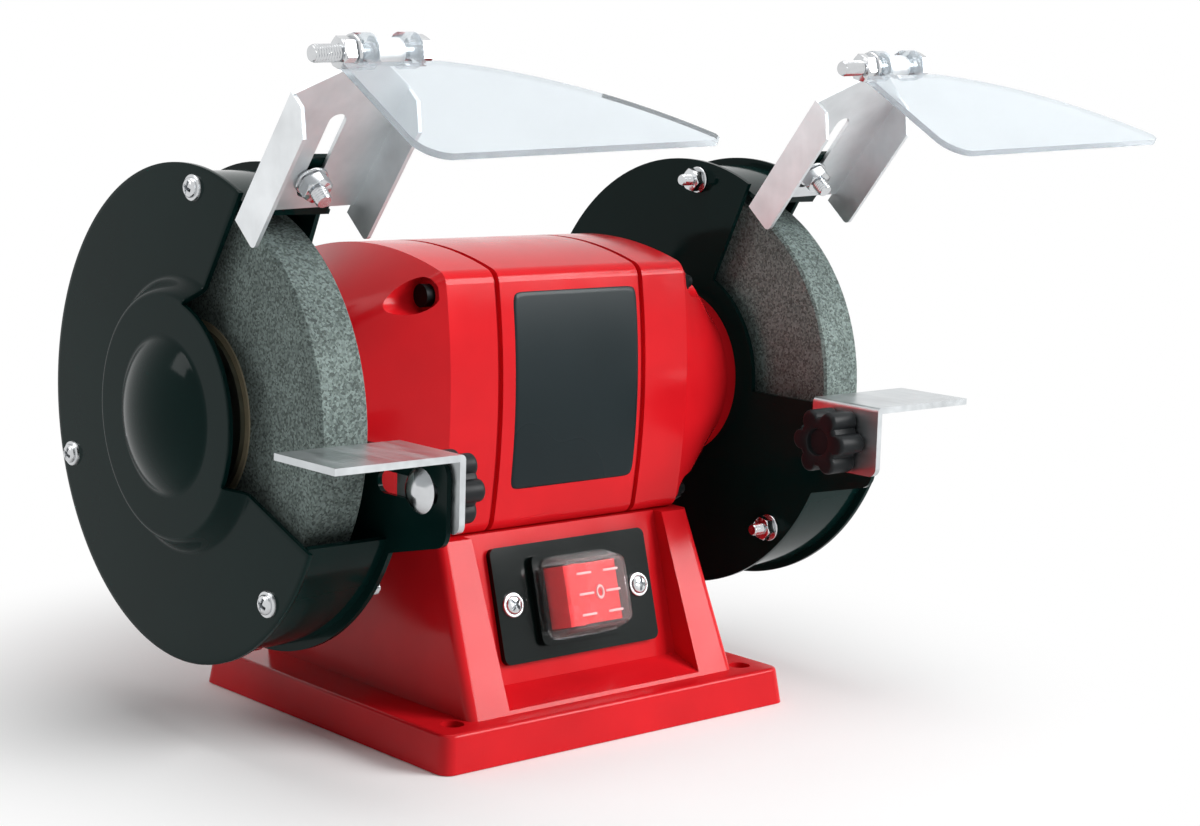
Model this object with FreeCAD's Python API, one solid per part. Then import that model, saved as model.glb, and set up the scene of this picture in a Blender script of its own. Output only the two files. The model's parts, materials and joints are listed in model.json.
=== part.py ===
"""Bench grinder with two 127 mm wheels, built from separate pieces.

Millimetres. The origin is the centre of the base's bolt pattern, on the bench.
+X runs along the shaft to the operator's right, -Y is the operator's side, +Z is up.
Angles round the shaft are counted from the front (0) over the top (90) to the back (180).
"""

import math
import os

import FreeCAD
import Part

V = FreeCAD.Vector
X_AXIS = V(1, 0, 0)
Y_AXIS = V(0, 1, 0)
Z_AXIS = V(0, 0, 1)
ORIGIN = V(0, 0, 0)

# Clearances
SLIP = 0.15            # between flat faces that slide on each other
RUNNING = 0.05         # radial, between a pin and its bore
SEAT = 0.05            # radial, round a piece fixed in its seat
HOLE_PLAY = 0.25       # radial, round a screw in a clearance hole

# Base and column
BASE_WIDTH = 140.0
BASE_DEPTH = 130.0
BASE_HEIGHT = 11.5
BASE_DRAFT = 1.5
BASE_CORNER = 4.0
BASE_RIM = 4.0
BASE_ROOF = 4.0
BASE_EDGE = 1.2
BASE_SIDE_LEDGE = 16.0
BASE_FRONT_LEDGE = 8.6
BASE_BACK_LEDGE = 11.0
MOUNT_INSET = 11.0
MOUNT_HOLE = 7.0
MOUNT_BOSS = 15.0
COLUMN_WALL = 3.0
COLUMN_DECK = 4.0
COLUMN_SIDE_LEAN = 3.0
COLUMN_FRONT_LEAN = 20.7
COLUMN_BACK_LEAN = 3.3
COLUMN_CORNER = 3.0
RECESS_SIDE_GAP = 7.5
RECESS_FLOOR_BACK = 19.0
RECESS_FLOOR_FRONT = 12.5
PANEL_TILT = 15.7
PANEL_MID_Y = -37.9
PANEL_MID_Z = 39.5
PLATE_THICK = 1.2
PLATE_LIFT = 2.0
PLATE_SIDE_GAP = 4.0
PLATE_EDGE_GAP = 0.5
PLATE_BOSS = 12.0
PLATE_BOSS_HEIGHT = 14.0
PLATE_SCREW = 4.0
PLATE_SCREW_INSET = 9.0
PLATE_HEAD_LIFT = 0.5
GLAND_HEIGHT = 28.0
GLAND_BODY = 12.0
GLAND_FLANGE = 18.0
GLAND_FLANGE_THICK = 3.0
GLAND_BORE = 7.0

# Capacitor, lying in the column
CAPACITOR_DIAMETER = 28.0
CAPACITOR_LENGTH = 50.0
CAPACITOR_BACK_GAP = 32.0
CAPACITOR_CHAMFER = 1.0
CLAMP_WIDTH = 14.0
CLAMP_THICK = 1.0
CLAMP_FOOT = 9.0
CLAMP_SCREW = 3.0
CLAMP_HEAD_HEIGHT = 2.0

# Switch, in the tilted panel's own frame
SWITCH_PLATE_WIDTH = 63.0
SWITCH_PLATE_HEIGHT = 36.0
SWITCH_PLATE_THICK = 2.0
SWITCH_PLATE_CORNER = 2.5
SWITCH_SCREW_INSET = 5.8
SWITCH_SCREW = 4.0
SWITCH_WINDOW_WIDTH = 40.0
SWITCH_WINDOW_HEIGHT = 29.0
BEZEL_WIDTH = 35.0
BEZEL_HEIGHT = 28.0
BEZEL_THICK = 2.0
SWITCH_BODY_DEPTH = 20.0
SWITCH_WALL = 1.8
ROCKER_WIDTH = 24.0
ROCKER_HEIGHT = 19.0
ROCKER_RISE = 7.0
ROCKER_DIP = 2.0
ROCKER_SIDE_GAP = 1.0
ROCKER_PIN = 3.0
ROCKER_TILT = 8.0
BOOT_RISE = 10.0
BOOT_SKIN = 0.8
BOOT_DRAFT = 2.0
BOOT_SIDE_INSET = 1.0
BOOT_END_INSET = 0.5
TERMINAL_WIDTH = 6.3
TERMINAL_THICK = 0.8
TERMINAL_LENGTH = 8.0
TERMINAL_SPACING = 9.0

# Motor
SHAFT_HEIGHT = 99.5
SHAFT_BACK = 7.5
STATOR_HALF = 28.0
SEAM_WIDTH = 2.0
SEAM_DEPTH = 1.5
HOUSING_HALF_DEPTH = 39.5
HOUSING_SIDE_BULGE = 3.8
HOUSING_DROP = 38.0
HOUSING_CORNER_RISE = 42.0
HOUSING_CROWN = 48.4
HOUSING_CORNER = 5.0
BELL_FLAT_END = 48.0
BELL_BOSS_LENGTH = 4.8
BELL_HUB = 59.0
BELL_BOSS = 57.0
BELL_CAVITY_END = 42.0
BELL_SHAFT_HOLE = 20.0
TIE_INSET_Y = 5.5
TIE_INSET_TOP = 6.5
TIE_INSET_BOTTOM = 5.0
TIE_BOLT = 4.0
TIE_HEAD = 7.0
TIE_HEAD_HEIGHT = 3.0
TIE_COUNTERBORE = 11.0
TIE_SEAT_PAST_FLAT = 2.0
PEDESTAL_SCREW = 5.0
PEDESTAL_SCREW_HEAD = 9.0
PEDESTAL_SCREW_SIDE = 12.0
PEDESTAL_SCREW_Y = 26.0
PEDESTAL_SCREW_GRIP = 8.0
CORE_DIAMETER = 71.0
CORE_HALF = 20.0
AIR_GAP = 0.4
ROTOR_DIAMETER = 44.0
ROTOR_RING_LENGTH = 4.0
ROTOR_RING_STEP = 1.0
ROTOR_RING_WALL = 5.0
WINDING_INNER = 49.0
WINDING_OUTER = 67.0
WINDING_LENGTH = 16.0
LEAD_HOLE = 10.0

# Bearings
BEARING_BORE = 15.0
BEARING_OUTER = 35.0
BEARING_WIDTH = 11.0
BEARING_SETBACK = 18.8
RING_WALL = 3.3
BALL_COUNT = 8
BALL_PLAY = 0.1
BEARING_LIP = 28.0
WAVE_THICK = 0.6
SHAFT_BODY = 17.0
SHAFT_CHAMFER = 1.0

# Wheels
WHEEL_DIAMETER = 127.0
WHEEL_WIDTH = 16.0
WHEEL_BORE = 12.7
WHEEL_CENTRE = 100.0
WHEEL_CHAMFER = 0.8
BLOTTER_THICK = 0.5
FLANGE_DIAMETER = 52.0
BLOTTER_MARGIN = 2.0
FLANGE_THICK = 3.0
FLANGE_HUB = 20.0
FLANGE_HUB_LENGTH = 3.5
FLANGE_LAND = 6.0
FLANGE_BEVEL = 2.0
FLANGE_RELIEF = 0.75
NUT_FLATS = 19.0
NUT_THICK = 6.5
NUT_CHAMFER = 2.0
SHAFT_PAST_NUT = 2.5

# Guards
SHEET = 1.5
GUARD_MARGIN = 10.0
GUARD_INNER_GAP = 7.2
GUARD_OUTER_GAP = 6.2
BAND_INSET = 2.5
BAND_LOWER_ANGLE = -24.0
NOTCH_UPPER_ANGLE = 65.0
INNER_NOTCH = 73.0
INNER_NOTCH_FLOOR = -2.6
COVER_NOTCH = 70.0
COVER_NOTCH_UPPER = 74.0
COVER_NOTCH_LOWER = -27.5
COVER_STEP_OUTER = 82.0
COVER_STEP_INNER = 75.0
COVER_STEP_RISE = 5.5
COVER_DOME = 44.0
COVER_DOME_RISE = 7.5
GUARD_SCREW_INSET = 4.0
GUARD_SCREW_ANGLES = (84.0, 198.0, -45.0)
GUARD_SCREW = 4.0
GUARD_SCREW_HEAD = 8.0
GUARD_SCREW_HEAD_HEIGHT = 2.5
GUARD_NUT_FLATS = 7.0
GUARD_NUT_THICK = 3.2
GUARD_WASHER = 9.0
GUARD_WASHER_THICK = 1.0
GUARD_STUD = 4.0
GUARD_HUB_HOLE = 38.0
GUARD_FIX_CIRCLE = 47.0
GUARD_FIX_ANGLES = (90.0, 210.0, 330.0)
GUARD_FIX_SCREW = 4.0
GUARD_FIX_HEAD = 7.0
GUARD_FIX_HEAD_HEIGHT = 1.6
GUARD_FIX_DEPTH = 10.0

# Tool rest and the guard's arm
ARM_REACH = 25.0
ARM_DROP = 24.0
ARM_ROOT_DROP = 34.0
ARM_CORNER = 5.0
SLOT_DROP = 10.0
SLOT_INSET = 4.0
SLOT_LENGTH = 28.0
REST_BOLT = 6.0
REST_BOLT_INSET = 13.0
REST_BOLT_HEAD = 13.0
REST_BOLT_HEAD_HEIGHT = 3.2
REST_THICK = 2.0
REST_WHEEL_GAP = 3.5
REST_DEPTH = 28.5
REST_LENGTH = 43.0
REST_LEG_DROP = 20.5
REST_CORNER = 3.0
REST_BEND = 1.6
KNOB_DIAMETER = 22.0
KNOB_THICK = 11.0
KNOB_LOBES = 6
KNOB_LOBE = 6.5
KNOB_CAP = 3.0
KNOB_RECESS = 9.0
KNOB_RECESS_DEPTH = 1.2

# Shield bracket, in its own frame: x along the shaft, s outward from the shaft, t forward
BRACKET_ANGLE = 49.5
BRACKET_ROLL = 3.0
WEB_OFFSET = -13.1
BRACKET_SHEET = 1.2
BRACKET_WIDTH = 38.0
BRACKET_SHIFT = 1.0
BRACKET_WHEEL_GAP = 4.4
WEB_STEP = 4.2
BRACKET_HEIGHT = 47.5
FLANGE_REACH = 12.0
FLANGE_CORNER = 2.0
TAB_HEIGHT = 19.4
TAB_WIDTH = 25.0
FIX_BOLT = 5.0
FIX_BOLT_RISE = 12.4
FIX_SLOT_LOW_INSET = 4.5
FIX_SLOT_TOP_INSET = 7.6
FIX_NUT_FLATS = 8.0
FIX_NUT_THICK = 4.0
FIX_HEAD_THICK = 3.6
FIX_WASHER = 10.0
FIX_WASHER_THICK = 1.0
FIX_BOLT_END = 4.0
HINGE_RISE = 16.8
HINGE_BOLT = 5.0
BARREL_START = -2.0
BARREL_LENGTH = 9.0
KNUCKLE_GAP = 1.5
LUG_LENGTH = 4.4
LUG_GAP = 0.3
LUG_DIAMETER = 10.5
HINGE_NUT_GAP = 1.2
HINGE_BOLT_TAIL = 8.0
SHIELD_THICK = 2.0
SHIELD_LEFT = -14.5
SHIELD_WIDTH = 98.0
SHIELD_REACH = 50.0
SHIELD_RELIEF = 6.5
SHIELD_TIP = 3.0
SHIELD_SWEEP_ALONG = 0.6
SHIELD_SWEEP_OUT = 0.39
SHIELD_CORNER = 9.0
SHIELD_TIP_CORNER = 2.0
SHIELD_LIFT = 10.5

# Derived places
SHAFT = V(0, SHAFT_BACK, SHAFT_HEIGHT)
MOUNT_SPACING_X = BASE_WIDTH - 2 * MOUNT_INSET
MOUNT_SPACING_Y = BASE_DEPTH - 2 * MOUNT_INSET
COLUMN_FOOT_WIDTH = BASE_WIDTH - 2 * BASE_SIDE_LEDGE
COLUMN_TOP_WIDTH = COLUMN_FOOT_WIDTH - 2 * COLUMN_SIDE_LEAN
PEDESTAL_SCREW_X = COLUMN_TOP_WIDTH / 2 - PEDESTAL_SCREW_SIDE
COLUMN_FOOT_FRONT = BASE_DEPTH / 2 - BASE_FRONT_LEDGE
COLUMN_TOP_FRONT = COLUMN_FOOT_FRONT - COLUMN_FRONT_LEAN
COLUMN_FOOT_BACK = BASE_DEPTH / 2 - BASE_BACK_LEDGE
COLUMN_TOP_BACK = COLUMN_FOOT_BACK - COLUMN_BACK_LEAN
COLUMN_TOP = SHAFT_HEIGHT - HOUSING_DROP
RECESS_WIDTH = SWITCH_PLATE_WIDTH + 2 * RECESS_SIDE_GAP
PLATE_WIDTH = COLUMN_FOOT_WIDTH - 2 * PLATE_SIDE_GAP
CAPACITOR_Y = COLUMN_FOOT_BACK - CAPACITOR_BACK_GAP
SWITCH_SCREW_SPACING = SWITCH_PLATE_WIDTH - 2 * SWITCH_SCREW_INSET
TIE_Y = HOUSING_HALF_DEPTH - TIE_INSET_Y
TIE_Z_TOP = HOUSING_CORNER_RISE - TIE_INSET_TOP
TIE_Z_BOTTOM = TIE_INSET_BOTTOM - HOUSING_DROP
TIE_SEAT = BELL_FLAT_END + TIE_SEAT_PAST_FLAT
WHEEL_INNER = WHEEL_CENTRE - WHEEL_WIDTH / 2
WHEEL_OUTER = WHEEL_CENTRE + WHEEL_WIDTH / 2
FLANGE_FACE = WHEEL_INNER - BLOTTER_THICK
SHOULDER = FLANGE_FACE - FLANGE_HUB_LENGTH
OUTER_FLANGE_START = WHEEL_OUTER + BLOTTER_THICK
NUT_START = OUTER_FLANGE_START + FLANGE_THICK
SHAFT_END = NUT_START + NUT_THICK + SHAFT_PAST_NUT
BLOTTER_DIAMETER = FLANGE_DIAMETER + 2 * BLOTTER_MARGIN
GUARD_DIAMETER = WHEEL_DIAMETER + 2 * GUARD_MARGIN
BAND_DIAMETER = GUARD_DIAMETER - 2 * BAND_INSET
GUARD_SCREW_CIRCLE = BAND_DIAMETER - 2 * GUARD_SCREW_INSET
GUARD_INNER_FACE = WHEEL_INNER - GUARD_INNER_GAP
GUARD_OUTER_FACE = WHEEL_OUTER + GUARD_OUTER_GAP
BELL_TAPER_END = GUARD_INNER_FACE - BELL_BOSS_LENGTH
BEARING_START = GUARD_INNER_FACE - BEARING_SETBACK
BAND_START = GUARD_INNER_FACE + SHEET
BAND_END = GUARD_OUTER_FACE - SHEET
ARM_TOP = SHAFT_HEIGHT + INNER_NOTCH_FLOOR
REST_NEAR = WHEEL_DIAMETER / 2 + REST_WHEEL_GAP
REST_BOLT_FRONT = REST_NEAR + REST_BOLT_INSET
REST_BOLT_Z = ARM_TOP - SLOT_DROP
ARM_FRONT = REST_NEAR + ARM_REACH
SLOT_FAR = ARM_FRONT - SLOT_INSET
SLOT_NEAR = SLOT_FAR - SLOT_LENGTH
LEG_OUTER = GUARD_INNER_FACE - SLIP
LEG_INNER = LEG_OUTER - REST_THICK
FLANGE_FOOT = WHEEL_DIAMETER / 2 + BRACKET_WHEEL_GAP
WEB_FOOT = FLANGE_FOOT + WEB_STEP
BRACKET_TOP = FLANGE_FOOT + BRACKET_HEIGHT
FIX_BOLT_S = BAND_DIAMETER / 2 + FIX_BOLT_RISE
FIX_SLOT_LOW = WEB_FOOT + FIX_SLOT_LOW_INSET
FIX_SLOT_HIGH = BRACKET_TOP - FIX_SLOT_TOP_INSET
TAB_TOP = BAND_DIAMETER / 2 + TAB_HEIGHT
HINGE_S = BRACKET_TOP + HINGE_RISE
WEB_FRONT = WEB_OFFSET + SLIP + BRACKET_SHEET
BARREL_BORE = HINGE_BOLT / 2 + RUNNING
BARREL_RADIUS = BARREL_BORE + BRACKET_SHEET
HINGE_T = WEB_OFFSET + SLIP + BARREL_RADIUS


def tube(outer, inner, start, end):
    """A ring about the shaft, from start to end along X."""
    place = V(start, SHAFT.y, SHAFT.z)
    ring = Part.makeCylinder(outer / 2, end - start, place, X_AXIS)
    if inner:
        ring = ring.cut(Part.makeCylinder(inner / 2, end - start, place, X_AXIS))
    return ring


def turned(profile):
    """Turn a closed outline of (x, radius) points about the shaft."""
    points = [V(x, SHAFT.y, SHAFT.z + radius) for x, radius in profile]
    face = Part.Face(Part.makePolygon(points + points[:1]))
    return face.revolve(SHAFT, X_AXIS, 360)


def polar(radius, angle, x=0.0):
    """A point round the shaft, the angle counted from the front over the top."""
    turn = math.radians(angle)
    return SHAFT + V(x, -radius * math.cos(turn), radius * math.sin(turn))


def rod(diameter, start, length, direction):
    return Part.makeCylinder(diameter / 2, length, start, direction)


def block(low, high):
    size = high - low
    return Part.makeBox(size.x, size.y, size.z, low)


def prism(points, sweep):
    return Part.Face(Part.makePolygon(points + points[:1])).extrude(sweep)


def hex_prism(flats, start, thick, direction):
    """A hexagon with the given width across flats, along an axis."""
    radius = flats / math.sqrt(3)
    corners = [V(radius * math.cos(math.pi / 3 * i), radius * math.sin(math.pi / 3 * i), 0) for i in range(6)]
    nut = prism(corners, V(0, 0, thick))
    nut.Placement = FreeCAD.Placement(start, FreeCAD.Rotation(Z_AXIS, direction))
    return nut


def rounded_box(width, height, z_low, z_high, corner):
    """A block centred on the local Z axis with rounded upright edges."""
    solid = Part.makeBox(width, height, z_high - z_low, V(-width / 2, -height / 2, z_low))
    upright = [edge for edge in solid.Edges if abs(edge.BoundBox.ZLength - (z_high - z_low)) < 1e-6]
    return solid.makeFillet(corner, upright)


def mirrored(shape):
    return shape.mirror(ORIGIN, X_AXIS)


def both_sides(solids):
    """The right-hand solids with their left-hand twins, as one group."""
    return Part.makeCompound(solids + [mirrored(solid) for solid in solids])


def rectangle_wire(x_half, y_front, y_back, z, corner):
    """A rounded rectangle lying flat, as a wire."""
    solid = Part.makeBox(2 * x_half, y_back - y_front, 1, V(-x_half, y_front, z))
    upright = [edge for edge in solid.Edges if abs(edge.BoundBox.ZLength - 1) < 1e-6]
    rounded = solid.makeFillet(corner, upright)
    floor = min(rounded.Faces, key=lambda face: face.CenterOfMass.z)
    return floor.OuterWire


def screw(start, direction, shank, length, head, head_height):
    """A screw whose head's seat is at start, its shank pointing along direction."""
    shaft = rod(shank, start, length, direction)
    cap = rod(head, start - direction * head_height, head_height, direction)
    return shaft.fuse(cap).removeSplitter()


# The panel's own frame has x along the shaft, y up the slope and z out of the panel.
PANEL_PLACE = FreeCAD.Placement(V(0, PANEL_MID_Y, PANEL_MID_Z), FreeCAD.Rotation(X_AXIS, 90 - PANEL_TILT))


def on_panel(shape):
    return shape.transformed(PANEL_PLACE.toMatrix())


def panel_front(depth):
    """Everything in front of the panel, moved back by depth, as a large block."""
    far = BASE_DEPTH
    return on_panel(block(V(-far, -far, -depth), V(far, far, far)))


def mount_points():
    return [V(sx * MOUNT_SPACING_X / 2, sy * MOUNT_SPACING_Y / 2, 0) for sx in (-1, 1) for sy in (-1, 1)]


def plate_screw_points():
    side = COLUMN_FOOT_WIDTH / 2 - PLATE_SCREW_INSET
    front = COLUMN_FOOT_FRONT - PLATE_SCREW_INSET
    back = COLUMN_FOOT_BACK - PLATE_SCREW_INSET
    return [V(sx * side, y, 0) for sx in (-1, 1) for y in (-front, back)]


def pedestal_screw_points():
    return [V(sx * PEDESTAL_SCREW_X, SHAFT_BACK + sy * PEDESTAL_SCREW_Y, COLUMN_TOP - COLUMN_DECK)
            for sx in (-1, 1) for sy in (-1, 1)]


def base_slab():
    """The tapered base plate, hollow below, with a boss at each mounting hole."""
    low = rectangle_wire(BASE_WIDTH / 2, -BASE_DEPTH / 2, BASE_DEPTH / 2, 0, BASE_CORNER)
    half_x = BASE_WIDTH / 2 - BASE_DRAFT
    half_y = BASE_DEPTH / 2 - BASE_DRAFT
    high = rectangle_wire(half_x, -half_y, half_y, BASE_HEIGHT, BASE_CORNER)
    slab = Part.makeLoft([low, high], True, True)
    upper = [edge for edge in slab.Edges if edge.BoundBox.ZMin > BASE_HEIGHT - BASE_EDGE]
    slab = slab.makeFillet(BASE_EDGE, upper)
    skirt = 2 * (BASE_RIM + BASE_DRAFT)
    pocket = rounded_box(BASE_WIDTH - skirt, BASE_DEPTH - skirt, -1, BASE_HEIGHT - BASE_ROOF, BASE_CORNER)
    for point in mount_points():
        pocket = pocket.cut(rod(MOUNT_BOSS, point - Z_AXIS, BASE_HEIGHT + 2, Z_AXIS))
    return slab.cut(pocket)


def column_block(inset, z_low, z_high):
    """The column's tapered block, drawn in by inset."""
    def section(z):
        share = (z - BASE_HEIGHT) / (COLUMN_TOP - BASE_HEIGHT)
        half = (COLUMN_FOOT_WIDTH + (COLUMN_TOP_WIDTH - COLUMN_FOOT_WIDTH) * share) / 2 - inset
        front = COLUMN_FOOT_FRONT + (COLUMN_TOP_FRONT - COLUMN_FOOT_FRONT) * share - inset
        back = COLUMN_FOOT_BACK + (COLUMN_TOP_BACK - COLUMN_FOOT_BACK) * share - inset
        return rectangle_wire(half, -front, back, z, COLUMN_CORNER)
    return Part.makeLoft([section(z_low), section(z_high)], True, True)


def recess_block():
    """What is cut away between the front ribs, down to the sloped floor."""
    front = panel_front(0)
    wide = block(V(-RECESS_WIDTH / 2, -BASE_DEPTH, 0), V(RECESS_WIDTH / 2, BASE_DEPTH, SHAFT_HEIGHT))
    far = BASE_DEPTH
    slope = (RECESS_FLOOR_BACK - RECESS_FLOOR_FRONT) / (COLUMN_FOOT_FRONT + PANEL_MID_Y)
    rise = RECESS_FLOOR_FRONT + slope * COLUMN_FOOT_FRONT
    floor = [V(-far, -COLUMN_FOOT_FRONT, RECESS_FLOOR_FRONT), V(-far, far, rise + slope * far),
             V(-far, far, SHAFT_HEIGHT * 2), V(-far, -far, SHAFT_HEIGHT * 2),
             V(-far, -far, RECESS_FLOOR_FRONT)]
    return front.common(wide).common(prism(floor, V(2 * far, 0, 0)))


def base_pedestal():
    body = base_slab().fuse(column_block(0, BASE_HEIGHT, COLUMN_TOP)).cut(recess_block())
    cavity = column_block(COLUMN_WALL, 0, COLUMN_TOP - COLUMN_DECK).cut(panel_front(COLUMN_WALL))
    for point in plate_screw_points():
        base = point + V(0, 0, PLATE_LIFT + PLATE_THICK)
        cavity = cavity.cut(rod(PLATE_BOSS, base, PLATE_BOSS_HEIGHT, Z_AXIS))
    body = body.cut(cavity)
    for point in mount_points():
        body = body.cut(rod(MOUNT_HOLE, point - Z_AXIS, BASE_HEIGHT + 2, Z_AXIS))
    for point in plate_screw_points():
        body = body.cut(rod(PLATE_SCREW + 2 * SEAT, point, PLATE_BOSS_HEIGHT, Z_AXIS))
    for point in pedestal_screw_points():
        body = body.cut(rod(PEDESTAL_SCREW + 2 * HOLE_PLAY, point - Z_AXIS, COLUMN_DECK + 2, Z_AXIS))
    body = body.cut(rod(LEAD_HOLE, V(0, SHAFT_BACK, COLUMN_TOP - COLUMN_DECK - 1), COLUMN_DECK + 2, Z_AXIS))
    gland_start = V(0, COLUMN_TOP_BACK - 2 * COLUMN_WALL, GLAND_HEIGHT)
    body = body.cut(rod(GLAND_BODY + 2 * SEAT, gland_start, 4 * COLUMN_WALL, Y_AXIS))
    window = rounded_box(SWITCH_WINDOW_WIDTH, SWITCH_WINDOW_HEIGHT, -2 * COLUMN_WALL, 1, SWITCH_PLATE_CORNER)
    body = body.cut(on_panel(window))
    for side in (-1, 1):
        hole = rod(SWITCH_SCREW + 2 * SEAT, V(side * SWITCH_SCREW_SPACING / 2, 0, -2 * COLUMN_WALL),
                   4 * COLUMN_WALL, Z_AXIS)
        body = body.cut(on_panel(hole))
    return body


def bottom_plate():
    depth = BASE_DEPTH - 2 * BASE_RIM - 2 * BASE_DRAFT - 2 * PLATE_EDGE_GAP
    plate = rounded_box(PLATE_WIDTH, depth, PLATE_LIFT, PLATE_LIFT + PLATE_THICK, BASE_CORNER)
    for point in plate_screw_points():
        plate = plate.cut(rod(PLATE_SCREW + 2 * HOLE_PLAY, point, PLATE_LIFT + 2 * PLATE_THICK, Z_AXIS))
    for side in (-1, 1):
        plate = plate.cut(clamp_hole(side, SEAT))
    return plate


def bottom_plate_screws():
    seats = [point + V(0, 0, PLATE_LIFT) for point in plate_screw_points()]
    length = PLATE_BOSS_HEIGHT - 2 * PLATE_LIFT
    head_height = PLATE_LIFT - PLATE_HEAD_LIFT
    return Part.makeCompound([screw(seat, Z_AXIS, PLATE_SCREW, length, 2 * PLATE_SCREW, head_height)
                              for seat in seats])


def pedestal_screws():
    length = COLUMN_DECK + PEDESTAL_SCREW_GRIP
    screws = [screw(point, Z_AXIS, PEDESTAL_SCREW, length, PEDESTAL_SCREW_HEAD, PEDESTAL_SCREW)
              for point in pedestal_screw_points()]
    return Part.makeCompound(screws)


def back_wall_at(z):
    share = (z - BASE_HEIGHT) / (COLUMN_TOP - BASE_HEIGHT)
    return COLUMN_FOOT_BACK + (COLUMN_TOP_BACK - COLUMN_FOOT_BACK) * share


def cord_gland():
    """A flanged rubber bush whose outer face leans with the back wall's outer flange."""
    outside = back_wall_at(GLAND_HEIGHT - GLAND_FLANGE / 2) + SLIP
    inside = back_wall_at(GLAND_HEIGHT) - COLUMN_WALL
    body = rod(GLAND_BODY, V(0, inside, GLAND_HEIGHT), outside - inside, Y_AXIS)
    flange = Part.makeCone(GLAND_FLANGE / 2, GLAND_BODY / 2, GLAND_FLANGE_THICK,
                           V(0, outside, GLAND_HEIGHT), Y_AXIS)
    bore = rod(GLAND_BORE, V(0, inside - 1, GLAND_HEIGHT), BASE_DEPTH, Y_AXIS)
    return body.fuse(flange).cut(bore)


def capacitor_axis():
    return V(0, CAPACITOR_Y, PLATE_LIFT + PLATE_THICK + CAPACITOR_DIAMETER / 2)


def capacitor():
    can = rod(CAPACITOR_DIAMETER, capacitor_axis() - X_AXIS * CAPACITOR_LENGTH / 2, CAPACITOR_LENGTH, X_AXIS)
    return can.makeChamfer(CAPACITOR_CHAMFER, [edge for edge in can.Edges if edge.BoundBox.XLength < 1e-6])


def clamp_screw_point(side):
    reach = CAPACITOR_DIAMETER / 2 + CLAMP_THICK + CLAMP_FOOT / 2
    return V(0, CAPACITOR_Y + side * reach, PLATE_LIFT + PLATE_THICK + CLAMP_THICK)


def clamp_hole(side, play):
    """A hole for a clamp screw through the strap's foot and the bottom plate."""
    length = CLAMP_THICK + PLATE_THICK
    return rod(CLAMP_SCREW + 2 * play, clamp_screw_point(side) - Z_AXIS * length, length, Z_AXIS)


def capacitor_clamp():
    """A strap over the can with a foot on each side."""
    axis = capacitor_axis()
    start = V(-CLAMP_WIDTH / 2, axis.y, axis.z)
    inner = CAPACITOR_DIAMETER / 2 + SEAT
    outer = inner + CLAMP_THICK
    floor = PLATE_LIFT + PLATE_THICK
    half = CLAMP_WIDTH / 2

    def saddle(radius):
        legs = block(V(-half, axis.y - radius, floor), V(half, axis.y + radius, axis.z))
        return legs.fuse(rod(2 * radius, start, CLAMP_WIDTH, X_AXIS))
    reach = outer + CLAMP_FOOT
    feet = block(V(-half, axis.y - reach, floor), V(half, axis.y + reach, floor + CLAMP_THICK))
    strap = saddle(outer).fuse(feet).cut(saddle(inner))
    for side in (-1, 1):
        strap = strap.cut(clamp_hole(side, HOLE_PLAY))
    above = block(V(-BASE_WIDTH, -BASE_DEPTH, floor), V(BASE_WIDTH, BASE_DEPTH, SHAFT_HEIGHT))
    return strap.common(above).removeSplitter()


def capacitor_screws():
    grip = CLAMP_THICK + PLATE_THICK
    return Part.makeCompound([screw(clamp_screw_point(side), -Z_AXIS, CLAMP_SCREW, grip, 2 * CLAMP_SCREW,
                                     CLAMP_HEAD_HEIGHT)
                              for side in (-1, 1)])


def switch_plate():
    plate = rounded_box(SWITCH_PLATE_WIDTH, SWITCH_PLATE_HEIGHT, 0, SWITCH_PLATE_THICK, SWITCH_PLATE_CORNER)
    width, height = switch_body_size()
    plate = plate.cut(rounded_box(width + 2 * SLIP, height + 2 * SLIP, -1, 2 * SWITCH_PLATE_THICK, SLIP))
    for side in (-1, 1):
        plate = plate.cut(rod(SWITCH_SCREW + 2 * HOLE_PLAY, V(side * SWITCH_SCREW_SPACING / 2, 0, -1),
                              2 * SWITCH_PLATE_THICK, Z_AXIS))
    return on_panel(plate)


def switch_plate_screws():
    length = SWITCH_PLATE_THICK + 2 * COLUMN_WALL
    seats = [V(side * SWITCH_SCREW_SPACING / 2, 0, SWITCH_PLATE_THICK) for side in (-1, 1)]
    screws = [screw(seat, -Z_AXIS, SWITCH_SCREW, length, 2 * SWITCH_SCREW, SWITCH_SCREW / 2)
              for seat in seats]
    return on_panel(Part.makeCompound(screws))


def switch_cavity_size():
    return ROCKER_WIDTH + 2 * ROCKER_SIDE_GAP, ROCKER_HEIGHT + 2 * SWITCH_WALL / 3


def switch_body_size():
    width, height = switch_cavity_size()
    return width + 2 * SWITCH_WALL, height + 2 * SWITCH_WALL


def rocker_pin(length):
    return rod(ROCKER_PIN, V(0, -length / 2, SWITCH_PLATE_THICK), length, Y_AXIS)


def switch_body():
    """The bezel and the hollow case behind it that carries the rocker's pivot."""
    width, height = switch_body_size()
    back = SWITCH_PLATE_THICK - SWITCH_BODY_DEPTH
    case = rounded_box(width, height, back, SWITCH_PLATE_THICK, SWITCH_WALL / 2)
    bezel = rounded_box(BEZEL_WIDTH, BEZEL_HEIGHT, SWITCH_PLATE_THICK, SWITCH_PLATE_THICK + BEZEL_THICK,
                        SWITCH_PLATE_CORNER)
    inside_width, inside_height = switch_cavity_size()
    low = SWITCH_PLATE_THICK - ROCKER_WIDTH / 2 - 2 * SWITCH_WALL
    cavity = rounded_box(inside_width, inside_height, low, 3 * SWITCH_BODY_DEPTH, SWITCH_WALL / 3)
    pivot = rod(ROCKER_PIN + 2 * RUNNING, V(0, -height / 2, SWITCH_PLATE_THICK), height, Y_AXIS)
    return on_panel(case.fuse(bezel).cut(cavity).cut(pivot).removeSplitter())


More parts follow.
